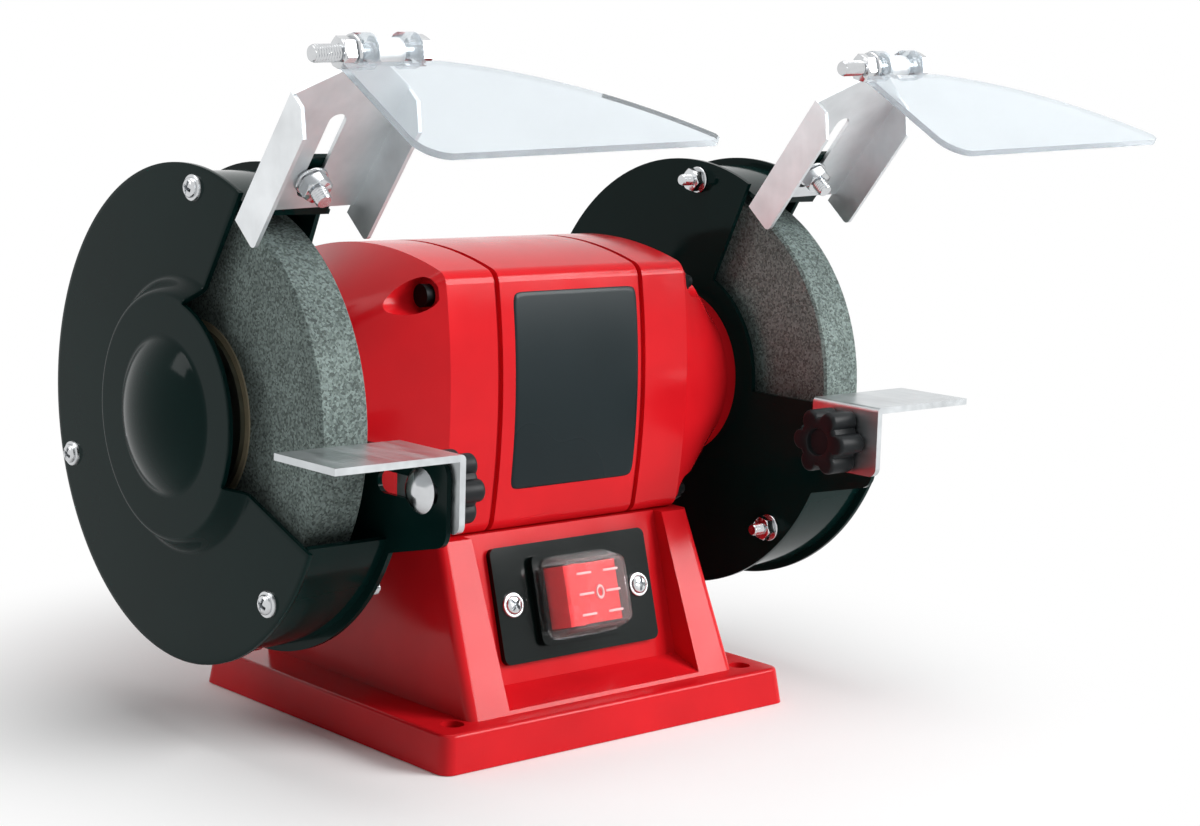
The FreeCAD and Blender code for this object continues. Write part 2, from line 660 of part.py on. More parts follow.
def switch_terminals():
    back = SWITCH_PLATE_THICK - SWITCH_BODY_DEPTH
    blades = []
    for column in (-1, 1):
        for row in (-1, 1):
            middle = V(column * TERMINAL_SPACING / 2, row * TERMINAL_SPACING / 2, 0)
            low = middle + V(-TERMINAL_THICK / 2, -TERMINAL_WIDTH / 2, back - TERMINAL_LENGTH)
            high = middle + V(TERMINAL_THICK / 2, TERMINAL_WIDTH / 2, back)
            blades.append(block(low, high))
    return on_panel(Part.makeCompound(blades))


def rocker():
    """A rocker with a dipped top and a round underside about its pivot pin."""
    half = ROCKER_WIDTH / 2
    front = -ROCKER_HEIGHT / 2
    pivot = V(0, front, SWITCH_PLATE_THICK)
    outline = [pivot + V(-half, 0, 0), pivot + V(-half, 0, ROCKER_RISE),
               pivot + V(0, 0, ROCKER_RISE - ROCKER_DIP),
               pivot + V(half, 0, ROCKER_RISE), pivot + V(half, 0, 0)]
    edges = [Part.makeLine(a, b) for a, b in zip(outline, outline[1:])]
    edges.append(Part.Arc(outline[-1], pivot + V(0, 0, -half), outline[0]).toShape())
    body = Part.Face(Part.Wire(edges)).extrude(V(0, ROCKER_HEIGHT, 0))
    pin_length = switch_body_size()[1] - SWITCH_WALL / 2
    body = body.fuse(rocker_pin(pin_length)).removeSplitter()
    body.rotate(V(0, 0, SWITCH_PLATE_THICK), Y_AXIS, ROCKER_TILT)
    return on_panel(body)


def switch_boot():
    """The clear splash boot on the bezel, a thin tapered cap."""
    foot = SWITCH_PLATE_THICK + BEZEL_THICK

    def cap(inset, low, high):
        sections = []
        for z in (low, high):
            draft = BOOT_DRAFT * (z - foot) / BOOT_RISE + inset
            width = BEZEL_WIDTH - 2 * (BOOT_SIDE_INSET + draft)
            height = BEZEL_HEIGHT - 2 * (BOOT_END_INSET + draft)
            box = rounded_box(width, height, z, z + 1, SWITCH_PLATE_CORNER)
            sections.append(min(box.Faces, key=lambda face: face.CenterOfMass.z).OuterWire)
        return Part.makeLoft(sections, True, True)
    outer = cap(0, foot, foot + BOOT_RISE)
    inner = cap(BOOT_SKIN, foot - 1, foot + BOOT_RISE - BOOT_SKIN)
    return on_panel(outer.cut(inner))


def housing_prism(start, end, inset):
    """The motor's bulged square section between two places along the shaft."""
    side = HOUSING_HALF_DEPTH - inset
    top = HOUSING_CORNER_RISE - inset
    floor = inset - HOUSING_DROP
    middle = (top + floor) / 2

    def point(y, z):
        return SHAFT + V(start, y, z)
    corners = [point(-side, floor), point(-side, top), point(side, top), point(side, floor)]
    edges = [Part.Arc(corners[0], point(-side - HOUSING_SIDE_BULGE, middle), corners[1]).toShape(),
             Part.Arc(corners[1], point(0, HOUSING_CROWN - inset), corners[2]).toShape(),
             Part.Arc(corners[2], point(side + HOUSING_SIDE_BULGE, middle), corners[3]).toShape(),
             Part.makeLine(corners[3], corners[0])]
    solid = Part.Face(Part.Wire(edges)).extrude(V(end - start, 0, 0))
    length = end - start
    ridges = [edge for edge in solid.Edges if abs(edge.BoundBox.XLength - length) < 1e-6]
    return solid.makeFillet(HOUSING_CORNER, ridges)


def tie_points():
    return [(side * TIE_Y, z) for side in (-1, 1) for z in (TIE_Z_TOP, TIE_Z_BOTTOM)]


def cut_tie_holes(body, start, end):
    for y, z in tie_points():
        body = body.cut(rod(TIE_BOLT + 2 * HOLE_PLAY, SHAFT + V(start, y, z), end - start, X_AXIS))
    return body


def stator_housing():
    shell = housing_prism(-STATOR_HALF, STATOR_HALF, 0)
    shell = shell.cut(tube(CORE_DIAMETER + 2 * SEAT, 0, -STATOR_HALF, STATOR_HALF))
    shell = shell.cut(rod(LEAD_HOLE, V(0, SHAFT_BACK, 0), SHAFT_HEIGHT, Z_AXIS))
    return cut_tie_holes(shell, -STATOR_HALF, STATOR_HALF)


def hub_loft():
    """The end bell's taper from the square section to the round hub."""
    section = housing_prism(BELL_FLAT_END - 1, BELL_FLAT_END, 0)
    face = max(section.Faces, key=lambda side: side.CenterOfMass.x)
    edges = face.OuterWire.OrderedEdges
    corners = face.OuterWire.OrderedVertexes
    angles = [math.degrees(math.atan2(c.Point.z - SHAFT.z, SHAFT.y - c.Point.y)) for c in corners]
    arcs = []
    for index, edge in enumerate(edges):
        start = angles[index]
        turn = (angles[(index + 1) % len(angles)] - start + 180) % 360 - 180
        points = [polar(BELL_HUB / 2, start + turn * share, BELL_TAPER_END) for share in (0, 0.5, 1)]
        arcs.append(Part.Arc(*points).toShape())
    return Part.makeLoft([Part.Wire(edges), Part.Wire(arcs)], True, True)


def right_end_bell():
    """The bell: register, square skirt, taper, hub, bearing seat and tie-bolt counterbores."""
    skirt_start = STATOR_HALF + SEAM_WIDTH
    bell = housing_prism(skirt_start, BELL_FLAT_END, 0)
    bell = bell.fuse(housing_prism(STATOR_HALF, skirt_start, SEAM_DEPTH))
    bell = bell.fuse(hub_loft())
    bell = bell.fuse(tube(BELL_BOSS, 0, BELL_TAPER_END, GUARD_INNER_FACE))
    seat_end = BEARING_START + BEARING_WIDTH + WAVE_THICK
    core = CORE_DIAMETER / 2
    cavity = turned([(STATOR_HALF - 1, 0), (STATOR_HALF - 1, core), (BELL_CAVITY_END, core),
                     (BEARING_START - 1, BEARING_OUTER / 2 + SEAT), (seat_end, BEARING_OUTER / 2 + SEAT),
                     (seat_end, BEARING_LIP / 2), (seat_end + SHEET, BELL_SHAFT_HOLE / 2),
                     (GUARD_OUTER_FACE, BELL_SHAFT_HOLE / 2), (GUARD_OUTER_FACE, 0)])
    bell = bell.cut(cavity)
    bell = cut_tie_holes(bell, STATOR_HALF - 1, BELL_TAPER_END)
    for y, z in tie_points():
        bell = bell.cut(rod(TIE_COUNTERBORE, SHAFT + V(TIE_SEAT, y, z), BELL_TAPER_END, X_AXIS))
    for point in pedestal_screw_points():
        bell = bell.cut(rod(PEDESTAL_SCREW + 2 * SEAT, point, COLUMN_DECK + PEDESTAL_SCREW_GRIP + 1, Z_AXIS))
    for angle in GUARD_FIX_ANGLES:
        hole = polar(GUARD_FIX_CIRCLE / 2, angle, GUARD_INNER_FACE - GUARD_FIX_DEPTH)
        bell = bell.cut(rod(GUARD_FIX_SCREW + 2 * SEAT, hole, GUARD_FIX_DEPTH + 1, X_AXIS))
    return bell.removeSplitter()


def tie_bolts():
    length = 2 * TIE_SEAT + 1.5 * TIE_BOLT
    seats = [SHAFT + V(-TIE_SEAT, y, z) for y, z in tie_points()]
    return Part.makeCompound([screw(seat, X_AXIS, TIE_BOLT, length, TIE_HEAD, TIE_HEAD_HEIGHT)
                              for seat in seats])


def tie_nuts():
    nuts = []
    for y, z in tie_points():
        nut = hex_prism(TIE_HEAD, SHAFT + V(TIE_SEAT, y, z), TIE_HEAD_HEIGHT, X_AXIS)
        nuts.append(nut.cut(rod(TIE_BOLT + 2 * SEAT, SHAFT + V(TIE_SEAT, y, z), TIE_HEAD_HEIGHT, X_AXIS)))
    return Part.makeCompound(nuts)


def stator_core():
    return tube(CORE_DIAMETER, ROTOR_DIAMETER + 2 * AIR_GAP, -CORE_HALF, CORE_HALF)


def stator_windings():
    """The two end turns, rounded rings that stand out of the core."""
    ring = tube(WINDING_OUTER, WINDING_INNER, CORE_HALF, CORE_HALF + WINDING_LENGTH)
    crown = [edge for edge in ring.Edges if edge.BoundBox.XMin > CORE_HALF + WINDING_LENGTH - 1e-6]
    return both_sides([ring.makeFillet((WINDING_OUTER - WINDING_INNER) / 6, crown)])


def motor_shaft():
    """One half's steps, turned and joined with its mirror image."""
    thread = WHEEL_BORE / 2 - SEAT
    half = turned([(0, 0), (0, SHAFT_BODY / 2), (BEARING_START, SHAFT_BODY / 2),
                   (BEARING_START, BEARING_BORE / 2), (SHOULDER, BEARING_BORE / 2),
                   (SHOULDER, thread), (SHAFT_END - SHAFT_CHAMFER, thread),
                   (SHAFT_END, thread - SHAFT_CHAMFER), (SHAFT_END, 0)])
    return half.fuse(mirrored(half)).removeSplitter()


def rotor_core():
    """The lamination stack with a cast ring at each end."""
    bore = SHAFT_BODY + 2 * SEAT
    stack = tube(ROTOR_DIAMETER, bore, -CORE_HALF, CORE_HALF)
    outer = ROTOR_DIAMETER - 2 * ROTOR_RING_STEP
    ring = tube(outer, outer - 2 * ROTOR_RING_WALL, CORE_HALF, CORE_HALF + ROTOR_RING_LENGTH)
    return stack.fuse(ring).fuse(mirrored(ring))


def bearing_outer_rings():
    inner = BEARING_OUTER - 2 * RING_WALL
    return both_sides([tube(BEARING_OUTER, inner, BEARING_START, BEARING_START + BEARING_WIDTH)])


def bearing_inner_rings():
    outer = BEARING_BORE + 2 * RING_WALL
    ring = tube(outer, BEARING_BORE + 2 * SEAT, BEARING_START, BEARING_START + BEARING_WIDTH)
    return both_sides([ring])


def bearing_balls():
    pitch = (BEARING_OUTER + BEARING_BORE) / 4
    radius = (BEARING_OUTER - BEARING_BORE) / 4 - RING_WALL - BALL_PLAY
    middle = BEARING_START + BEARING_WIDTH / 2
    balls = [Part.makeSphere(radius, polar(pitch, 360 / BALL_COUNT * i, middle)) for i in range(BALL_COUNT)]
    return both_sides(balls)


def wave_washer():
    start = BEARING_START + BEARING_WIDTH
    return tube(BEARING_OUTER, BEARING_LIP, start, start + WAVE_THICK)


def right_wheel():
    rim = WHEEL_DIAMETER / 2
    bore = WHEEL_BORE / 2
    edge = rim - WHEEL_CHAMFER
    return turned([(WHEEL_INNER, bore), (WHEEL_INNER, edge), (WHEEL_INNER + WHEEL_CHAMFER, rim),
                   (WHEEL_OUTER - WHEEL_CHAMFER, rim), (WHEEL_OUTER, edge), (WHEEL_OUTER, bore)])


def wheel_blotters():
    return both_sides([tube(BLOTTER_DIAMETER, WHEEL_BORE, FLANGE_FACE, WHEEL_INNER),
                       tube(BLOTTER_DIAMETER, WHEEL_BORE, WHEEL_OUTER, OUTER_FLANGE_START)])


def inner_flanges():
    """The flange on the shaft's shoulder, dished so that only its rim bears on the wheel."""
    rim = FLANGE_DIAMETER / 2
    hub = FLANGE_HUB / 2
    bore = WHEEL_BORE / 2
    back = FLANGE_FACE - FLANGE_THICK + FLANGE_RELIEF
    land = rim - FLANGE_LAND
    dish = FLANGE_FACE - FLANGE_RELIEF
    flange = turned([(SHOULDER, bore), (SHOULDER, hub), (back, hub), (back + FLANGE_RELIEF, rim),
                     (FLANGE_FACE, rim), (FLANGE_FACE, land), (dish, land - FLANGE_BEVEL), (dish, hub),
                     (FLANGE_FACE, hub - FLANGE_RELIEF), (FLANGE_FACE, bore)])
    return both_sides([flange])


def outer_flanges():
    rim = FLANGE_DIAMETER / 2
    hub = FLANGE_HUB / 2 + FLANGE_BEVEL
    bore = WHEEL_BORE / 2
    land = rim - FLANGE_LAND
    face = OUTER_FLANGE_START
    dish = face + FLANGE_RELIEF
    flange = turned([(face, bore), (face, hub - FLANGE_RELIEF), (dish, hub), (dish, land - FLANGE_BEVEL),
                     (face, land), (face, rim), (face + FLANGE_THICK / 2, rim),
                     (NUT_START, hub + FLANGE_BEVEL), (NUT_START, bore)])
    return both_sides([flange])


def right_wheel_nut():
    start = V(NUT_START, SHAFT.y, SHAFT.z)
    nut = hex_prism(NUT_FLATS, start, NUT_THICK, X_AXIS)
    end = NUT_START + NUT_THICK
    dome = turned([(NUT_START, 0), (NUT_START, NUT_FLATS), (end - NUT_CHAMFER, NUT_FLATS / math.sqrt(3)),
                   (end, NUT_FLATS / 2 - NUT_CHAMFER / 4), (end, 0)])
    return nut.common(dome).cut(rod(WHEEL_BORE, start, NUT_THICK, X_AXIS))


def tab_angle(radius):
    """The angle round the shaft where the shield tab's front face meets a radius."""
    return BRACKET_ANGLE - math.degrees(math.asin(WEB_OFFSET / radius))


def bracket_place(x_centre, roll):
    """From the bracket's frame to the grinder's, rolled about the fixing bolt."""
    swing = FreeCAD.Placement(V(0, 0, 0), FreeCAD.Rotation(Z_AXIS, roll), V(0, FIX_BOLT_S, 0))
    stand = FreeCAD.Placement(V(x_centre, SHAFT.y, SHAFT.z), FreeCAD.Rotation(X_AXIS, 180 - BRACKET_ANGLE))
    return stand.multiply(swing)


def placed(shape, x_centre, roll=BRACKET_ROLL):
    return shape.transformed(bracket_place(x_centre, roll).toMatrix())


def band():
    """The rolled strip between the plates, open at the front."""
    outer = BAND_DIAMETER / 2
    start = max(tab_angle(outer), tab_angle(outer - SHEET))
    corners = [polar(outer - SHEET, start, BAND_START), polar(outer, start, BAND_START),
               polar(outer, start, BAND_END), polar(outer - SHEET, start, BAND_END)]
    sweep = 360 + BAND_LOWER_ANGLE - start
    return Part.Face(Part.makePolygon(corners + corners[:1])).revolve(SHAFT, -X_AXIS, sweep)


def arc_at(radius, angle_from, angle_to, x):
    angles = (angle_from, (angle_from + angle_to) / 2, angle_to)
    return Part.Arc(*[polar(radius, angle, x) for angle in angles]).toShape()


def inner_notch():
    """The opening in the motor-side plate: a straight upper edge, an arc and a level floor."""
    x = GUARD_INNER_FACE - 1
    radius = INNER_NOTCH / 2
    low = math.degrees(math.asin(INNER_NOTCH_FLOOR / radius))
    far = GUARD_DIAMETER
    inner_top = polar(radius, NOTCH_UPPER_ANGLE, x)
    outer_top = polar(far, NOTCH_UPPER_ANGLE, x)
    outer_low = V(x, SHAFT.y - far, SHAFT.z + INNER_NOTCH_FLOOR)
    inner_low = polar(radius, low, x)
    edges = [Part.makeLine(outer_top, inner_top), arc_at(radius, NOTCH_UPPER_ANGLE, low, x),
             Part.makeLine(inner_low, outer_low), Part.makeLine(outer_low, outer_top)]
    return Part.Face(Part.Wire(edges)).extrude(V(SHEET + 2, 0, 0))


def guard_arm():
    """The slotted ear of the motor-side plate that carries the tool rest."""
    x = GUARD_INNER_FACE
    front = SHAFT.y - ARM_FRONT
    root = SHAFT.y - GUARD_DIAMETER / 3
    outline = [V(x, root, ARM_TOP), V(x, front, ARM_TOP), V(x, front, ARM_TOP - ARM_DROP),
               V(x, root, ARM_TOP - ARM_ROOT_DROP)]
    arm = prism(outline, V(SHEET, 0, 0))
    across = [edge for edge in arm.Edges if edge.BoundBox.XLength > SHEET / 2]
    corners = [edge for edge in across if edge.BoundBox.YMax < front + 1]
    return arm.makeFillet(ARM_CORNER, corners)


def arm_slot():
    half = REST_BOLT / 2 + HOLE_PLAY
    near = SHAFT.y - SLOT_NEAR - half
    far = SHAFT.y - SLOT_FAR + half
    x = GUARD_INNER_FACE - 1
    middle = block(V(x, far, REST_BOLT_Z - half), V(x + SHEET + 2, near, REST_BOLT_Z + half))
    ends = [rod(2 * half, V(x, y, REST_BOLT_Z), SHEET + 2, X_AXIS) for y in (near, far)]
    return middle.fuse(ends[0]).fuse(ends[1])


def shield_tab():
    """The flat lip turned out from the band's upper end, where a bracket is bolted."""
    foot = math.sqrt((BAND_DIAMETER / 2 - SHEET) ** 2 - WEB_OFFSET ** 2)
    half = TAB_WIDTH / 2
    lip = block(V(-half, foot, WEB_OFFSET - SHEET), V(half, TAB_TOP, WEB_OFFSET))
    through = [edge for edge in lip.Edges if edge.BoundBox.ZLength > SHEET / 2]
    corners = [edge for edge in through if edge.BoundBox.YMin > TAB_TOP - 1]
    lip = lip.makeFillet(FLANGE_CORNER, corners)
    behind = V(0, FIX_BOLT_S, WEB_OFFSET - 2 * SHEET)
    lip = lip.cut(rod(FIX_BOLT + 2 * SEAT, behind, 4 * SHEET, Z_AXIS))
    return placed(lip, WHEEL_CENTRE, 0)


def right_inner_guard():
    plate = tube(GUARD_DIAMETER, GUARD_HUB_HOLE, GUARD_INNER_FACE, BAND_START).cut(inner_notch())
    plate = plate.fuse(guard_arm()).cut(arm_slot())
    for angle in GUARD_SCREW_ANGLES:
        hole = polar(GUARD_SCREW_CIRCLE / 2, angle, GUARD_INNER_FACE - 1)
        plate = plate.cut(rod(GUARD_SCREW + 2 * HOLE_PLAY, hole, SHEET + 2, X_AXIS))
    for angle in GUARD_FIX_ANGLES:
        hole = polar(GUARD_FIX_CIRCLE / 2, angle, GUARD_INNER_FACE - 1)
        plate = plate.cut(rod(GUARD_FIX_SCREW + 2 * HOLE_PLAY, hole, SHEET + 2, X_AXIS))
    return plate.fuse(band()).fuse(shield_tab()).removeSplitter()


def cover_notch():
    """The front opening of the cover, with straight edges down to the arc round the hub."""
    x = BAND_END - 1
    radius = COVER_NOTCH / 2
    rim = GUARD_DIAMETER / 2
    inner_top = polar(radius, COVER_NOTCH_UPPER, x)
    rim_top = polar(rim, NOTCH_UPPER_ANGLE, x)
    inner_low = polar(radius, COVER_NOTCH_LOWER, x)
    rim_low = polar(rim, BAND_LOWER_ANGLE, x)
    far_top = rim_top + (rim_top - inner_top)
    far_low = rim_low + (rim_low - inner_low)
    front_top = V(x, SHAFT.y - GUARD_DIAMETER, far_top.z)
    front_low = V(x, SHAFT.y - GUARD_DIAMETER, far_low.z)
    edges = [Part.makeLine(far_top, inner_top), arc_at(radius, COVER_NOTCH_UPPER, COVER_NOTCH_LOWER, x),
             Part.makeLine(inner_low, far_low), Part.makeLine(far_low, front_low),
             Part.makeLine(front_low, front_top), Part.makeLine(front_top, far_top)]
    return Part.Face(Part.Wire(edges)).extrude(V(COVER_STEP_RISE + COVER_DOME_RISE + 2 * SHEET + 1, 0, 0))


def right_guard_cover():
    """The pressed outer cover: a flat rim, a raised round step and a domed centre."""
    def pressed(x, radius, rise):
        return V(x + rise, SHAFT.y, SHAFT.z + radius)
    dome = COVER_DOME / 2
    lift = COVER_STEP_RISE + COVER_DOME_RISE

    def skin(x):
        rim = pressed(x, GUARD_DIAMETER / 2, 0)
        step = pressed(x, COVER_STEP_OUTER / 2, 0)
        shoulder = pressed(x, COVER_STEP_INNER / 2, COVER_STEP_RISE)
        foot = pressed(x, dome, COVER_STEP_RISE)
        crown = pressed(x, 0, lift)
        ball = (dome ** 2 + COVER_DOME_RISE ** 2) / (2 * COVER_DOME_RISE)
        flank = pressed(x, dome / 2, lift - ball + math.sqrt(ball ** 2 - dome ** 2 / 4))
        return [Part.makeLine(rim, step), Part.makeLine(step, shoulder), Part.makeLine(shoulder, foot),
                Part.Arc(foot, flank, crown).toShape()]
    outer = skin(GUARD_OUTER_FACE)
    inner = skin(BAND_END)
    closing = [Part.makeLine(pressed(GUARD_OUTER_FACE, 0, lift), pressed(BAND_END, 0, lift)),
               Part.makeLine(pressed(GUARD_OUTER_FACE, GUARD_DIAMETER / 2, 0),
                             pressed(BAND_END, GUARD_DIAMETER / 2, 0))]
    wire = Part.Wire(Part.__sortEdges__(outer + inner + closing))
    cover = Part.Face(wire).revolve(SHAFT, X_AXIS, 360).cut(cover_notch())
    for angle in GUARD_SCREW_ANGLES:
        hole = polar(GUARD_SCREW_CIRCLE / 2, angle, BAND_END - 1)
        cover = cover.cut(rod(GUARD_SCREW + 2 * HOLE_PLAY, hole, SHEET + 2, X_AXIS))
    return cover


def guard_cover_screws():
    stack = GUARD_OUTER_FACE - GUARD_INNER_FACE + GUARD_WASHER_THICK + GUARD_NUT_THICK + GUARD_STUD
    screws = [screw(polar(GUARD_SCREW_CIRCLE / 2, angle, GUARD_OUTER_FACE), -X_AXIS, GUARD_SCREW, stack,
                    GUARD_SCREW_HEAD, GUARD_SCREW_HEAD_HEIGHT) for angle in GUARD_SCREW_ANGLES]
    return both_sides(screws)


def guard_cover_washers():
    start = GUARD_INNER_FACE - GUARD_WASHER_THICK
    rings = []
    for angle in GUARD_SCREW_ANGLES:
        place = polar(GUARD_SCREW_CIRCLE / 2, angle, start)
        ring = rod(GUARD_WASHER, place, GUARD_WASHER_THICK, X_AXIS)
        rings.append(ring.cut(rod(GUARD_SCREW + 2 * SEAT, place, GUARD_WASHER_THICK, X_AXIS)))
    return both_sides(rings)


def guard_cover_nuts():
    start = GUARD_INNER_FACE - GUARD_WASHER_THICK - GUARD_NUT_THICK
    nuts = []
    for angle in GUARD_SCREW_ANGLES:
        place = polar(GUARD_SCREW_CIRCLE / 2, angle, start)
        nut = hex_prism(GUARD_NUT_FLATS, place, GUARD_NUT_THICK, X_AXIS)
        nuts.append(nut.cut(rod(GUARD_SCREW + 2 * SEAT, place, GUARD_NUT_THICK, X_AXIS)))
    return both_sides(nuts)


def guard_mount_screws():
    screws = [screw(polar(GUARD_FIX_CIRCLE / 2, angle, BAND_START), -X_AXIS, GUARD_FIX_SCREW, GUARD_FIX_DEPTH,
                    GUARD_FIX_HEAD, GUARD_FIX_HEAD_HEIGHT) for angle in GUARD_FIX_ANGLES]
    return both_sides(screws)


def right_tool_rest():
    """A bent strip: the table in front of the wheel and the leg against the arm."""
    table_low = ARM_TOP + SLIP
    near = SHAFT.y - REST_NEAR
    far = near - REST_DEPTH
    leg = block(V(LEG_INNER, far, table_low - REST_LEG_DROP), V(LEG_OUTER, near, table_low + REST_THICK))
    table = block(V(LEG_INNER, far, table_low), V(LEG_INNER + REST_LENGTH, near, table_low + REST_THICK))
    rest = leg.fuse(table).removeSplitter()

    def is_bend(edge):
        box = edge.BoundBox
        return box.YLength > REST_DEPTH / 2 and box.XMax < LEG_INNER + 1e-6 and box.ZMin > table_low
    rest = rest.makeFillet(REST_BEND, [edge for edge in rest.Edges if is_bend(edge)])

    def is_leg_corner(edge):
        box = edge.BoundBox
        across = box.YLength < 1e-6 and box.XLength > REST_THICK / 2
        return across and box.ZMax < table_low - REST_LEG_DROP / 2
    rest = rest.makeFillet(REST_CORNER, [edge for edge in rest.Edges if is_leg_corner(edge)])
    hole = V(LEG_INNER - 1, SHAFT.y - REST_BOLT_FRONT, REST_BOLT_Z)
    return rest.cut(rod(REST_BOLT + 2 * HOLE_PLAY, hole, REST_THICK + 2, X_AXIS))


def right_rest_bolt():
    """A round-headed bolt through the arm's slot and the rest's leg."""
    seat = V(BAND_START + SLIP, SHAFT.y - REST_BOLT_FRONT, REST_BOLT_Z)
    end = LEG_INNER - SLIP - KNOB_THICK + KNOB_CAP
    shank = rod(REST_BOLT, V(end, seat.y, seat.z), seat.x - end, X_AXIS)
    radius = (REST_BOLT_HEAD ** 2 / 4 + REST_BOLT_HEAD_HEIGHT ** 2) / (2 * REST_BOLT_HEAD_HEIGHT)
    ball = Part.makeSphere(radius, seat + X_AXIS * (REST_BOLT_HEAD_HEIGHT - radius))
    head = ball.common(rod(2 * radius, seat, REST_BOLT_HEAD_HEIGHT, X_AXIS))
    return shank.fuse(head)


def right_rest_knob():
    """A lobed hand knob, blind at its outer end."""
    start = V(LEG_INNER - SLIP - KNOB_THICK, SHAFT.y - REST_BOLT_FRONT, REST_BOLT_Z)
    pitch = (KNOB_DIAMETER - KNOB_LOBE) / 2
    knob = rod(2 * pitch, start, KNOB_THICK, X_AXIS)
    for index in range(KNOB_LOBES):
        turn = 2 * math.pi / KNOB_LOBES * index
        place = start + V(0, pitch * math.cos(turn), pitch * math.sin(turn))
        knob = knob.fuse(rod(KNOB_LOBE, place, KNOB_THICK, X_AXIS))
    bore = rod(REST_BOLT + 2 * RUNNING, start + X_AXIS * (KNOB_CAP - SLIP), KNOB_THICK, X_AXIS)
    recess = rod(KNOB_RECESS, start, KNOB_RECESS_DEPTH, X_AXIS)
    return knob.removeSplitter().cut(bore).cut(recess)


def shield_bracket():
    """A folded channel with a long fixing slot, drawn in at the top to a rolled hinge barrel."""
    left = BRACKET_SHIFT - BRACKET_WIDTH / 2
    right = BRACKET_SHIFT + BRACKET_WIDTH / 2
    back = WEB_OFFSET + SLIP
    front = back + FLANGE_REACH
    barrel_end = BARREL_START + BARREL_LENGTH
    taper_top = HINGE_S - LUG_DIAMETER / 2 - KNUCKLE_GAP
    web_outline = [V(left, WEB_FOOT, back), V(right, WEB_FOOT, back), V(right, BRACKET_TOP, back),
                   V(barrel_end, taper_top, back), V(barrel_end, HINGE_S, back),
                   V(BARREL_START, HINGE_S, back), V(BARREL_START, taper_top, back),
                   V(left, BRACKET_TOP, back)]
    web = prism(web_outline, V(0, 0, BRACKET_SHEET))
    cut_back = BRACKET_TOP - FLANGE_REACH / 2
    flange_outline = [V(0, FLANGE_FOOT, back), V(0, FLANGE_FOOT, front), V(0, cut_back, front),
                      V(0, BRACKET_TOP, back + FLANGE_REACH / 2), V(0, BRACKET_TOP, back)]
    flange = prism(flange_outline, V(BRACKET_SHEET, 0, 0))
    tips = [edge for edge in flange.Edges
            if edge.BoundBox.XLength > BRACKET_SHEET / 2 and edge.BoundBox.YMax < WEB_FOOT]
    flange = flange.makeFillet(FLANGE_CORNER, [edge for edge in tips if edge.BoundBox.ZMin > back + 1])
    body = web
    for x in (left, right - BRACKET_SHEET):
        body = body.fuse(flange.translated(V(x, 0, 0)))
    axis = V(BARREL_START, HINGE_S, HINGE_T)
    body = body.fuse(rod(2 * BARREL_RADIUS, axis, BARREL_LENGTH, X_AXIS))
    body = body.cut(rod(2 * BARREL_BORE, axis - X_AXIS, BARREL_LENGTH + 2, X_AXIS))
    half = FIX_BOLT / 2 + HOLE_PLAY
    low = FIX_SLOT_LOW + half
    high = FIX_SLOT_HIGH - half
    slot = block(V(-half, low, back - 1), V(half, high, WEB_FRONT + 1))
    for s in (low, high):
        slot = slot.fuse(rod(2 * half, V(0, s, back - 1), BRACKET_SHEET + 2, Z_AXIS))
    return body.cut(slot).removeSplitter()


def bracket_bolt():
    """The fixing bolt: its head is behind the tab, its end stands out of the nut."""
    seat = V(0, FIX_BOLT_S, WEB_OFFSET - SHEET)
    nut_end = WEB_FRONT + SLIP + FIX_WASHER_THICK + FIX_NUT_THICK
    shank = rod(FIX_BOLT, seat, nut_end + FIX_BOLT_END - seat.z, Z_AXIS)
    return shank.fuse(hex_prism(FIX_NUT_FLATS, seat, FIX_HEAD_THICK, -Z_AXIS))


def bracket_nut():
    start = V(0, FIX_BOLT_S, WEB_FRONT + SLIP)
    washer = rod(FIX_WASHER, start, FIX_WASHER_THICK, Z_AXIS)
    nut = hex_prism(FIX_NUT_FLATS, start + Z_AXIS * FIX_WASHER_THICK, FIX_NUT_THICK, Z_AXIS)
    bore = rod(FIX_BOLT + 2 * SEAT, start, FIX_WASHER_THICK + FIX_NUT_THICK, Z_AXIS)
    return [washer.cut(bore), nut.cut(bore)]


def lug_starts():
    return BARREL_START - LUG_GAP - LUG_LENGTH, BARREL_START + BARREL_LENGTH + LUG_GAP


def hinge_bolt():
    """The hinge bolt with its head on the right, a washer and a nut on the left."""
    left_lug, right_lug = lug_starts()
    head = V(right_lug + LUG_LENGTH + LUG_GAP, HINGE_S, HINGE_T)
    washer_end = left_lug - LUG_GAP
    nut_start = washer_end - HINGE_NUT_GAP - FIX_NUT_THICK
    tail = nut_start - HINGE_BOLT_TAIL
    shank = rod(HINGE_BOLT, V(tail, HINGE_S, HINGE_T), head.x - tail, X_AXIS)
    bolt = shank.fuse(hex_prism(FIX_NUT_FLATS, head, FIX_HEAD_THICK, X_AXIS))
    bore = rod(HINGE_BOLT + 2 * SEAT, V(tail, HINGE_S, HINGE_T), head.x - tail, X_AXIS)
    washer = rod(FIX_WASHER, V(washer_end - HINGE_NUT_GAP, HINGE_S, HINGE_T), HINGE_NUT_GAP, X_AXIS)
    nut = hex_prism(FIX_NUT_FLATS, V(nut_start, HINGE_S, HINGE_T), FIX_NUT_THICK, X_AXIS)
    return [bolt, washer.cut(bore), nut.cut(bore)]


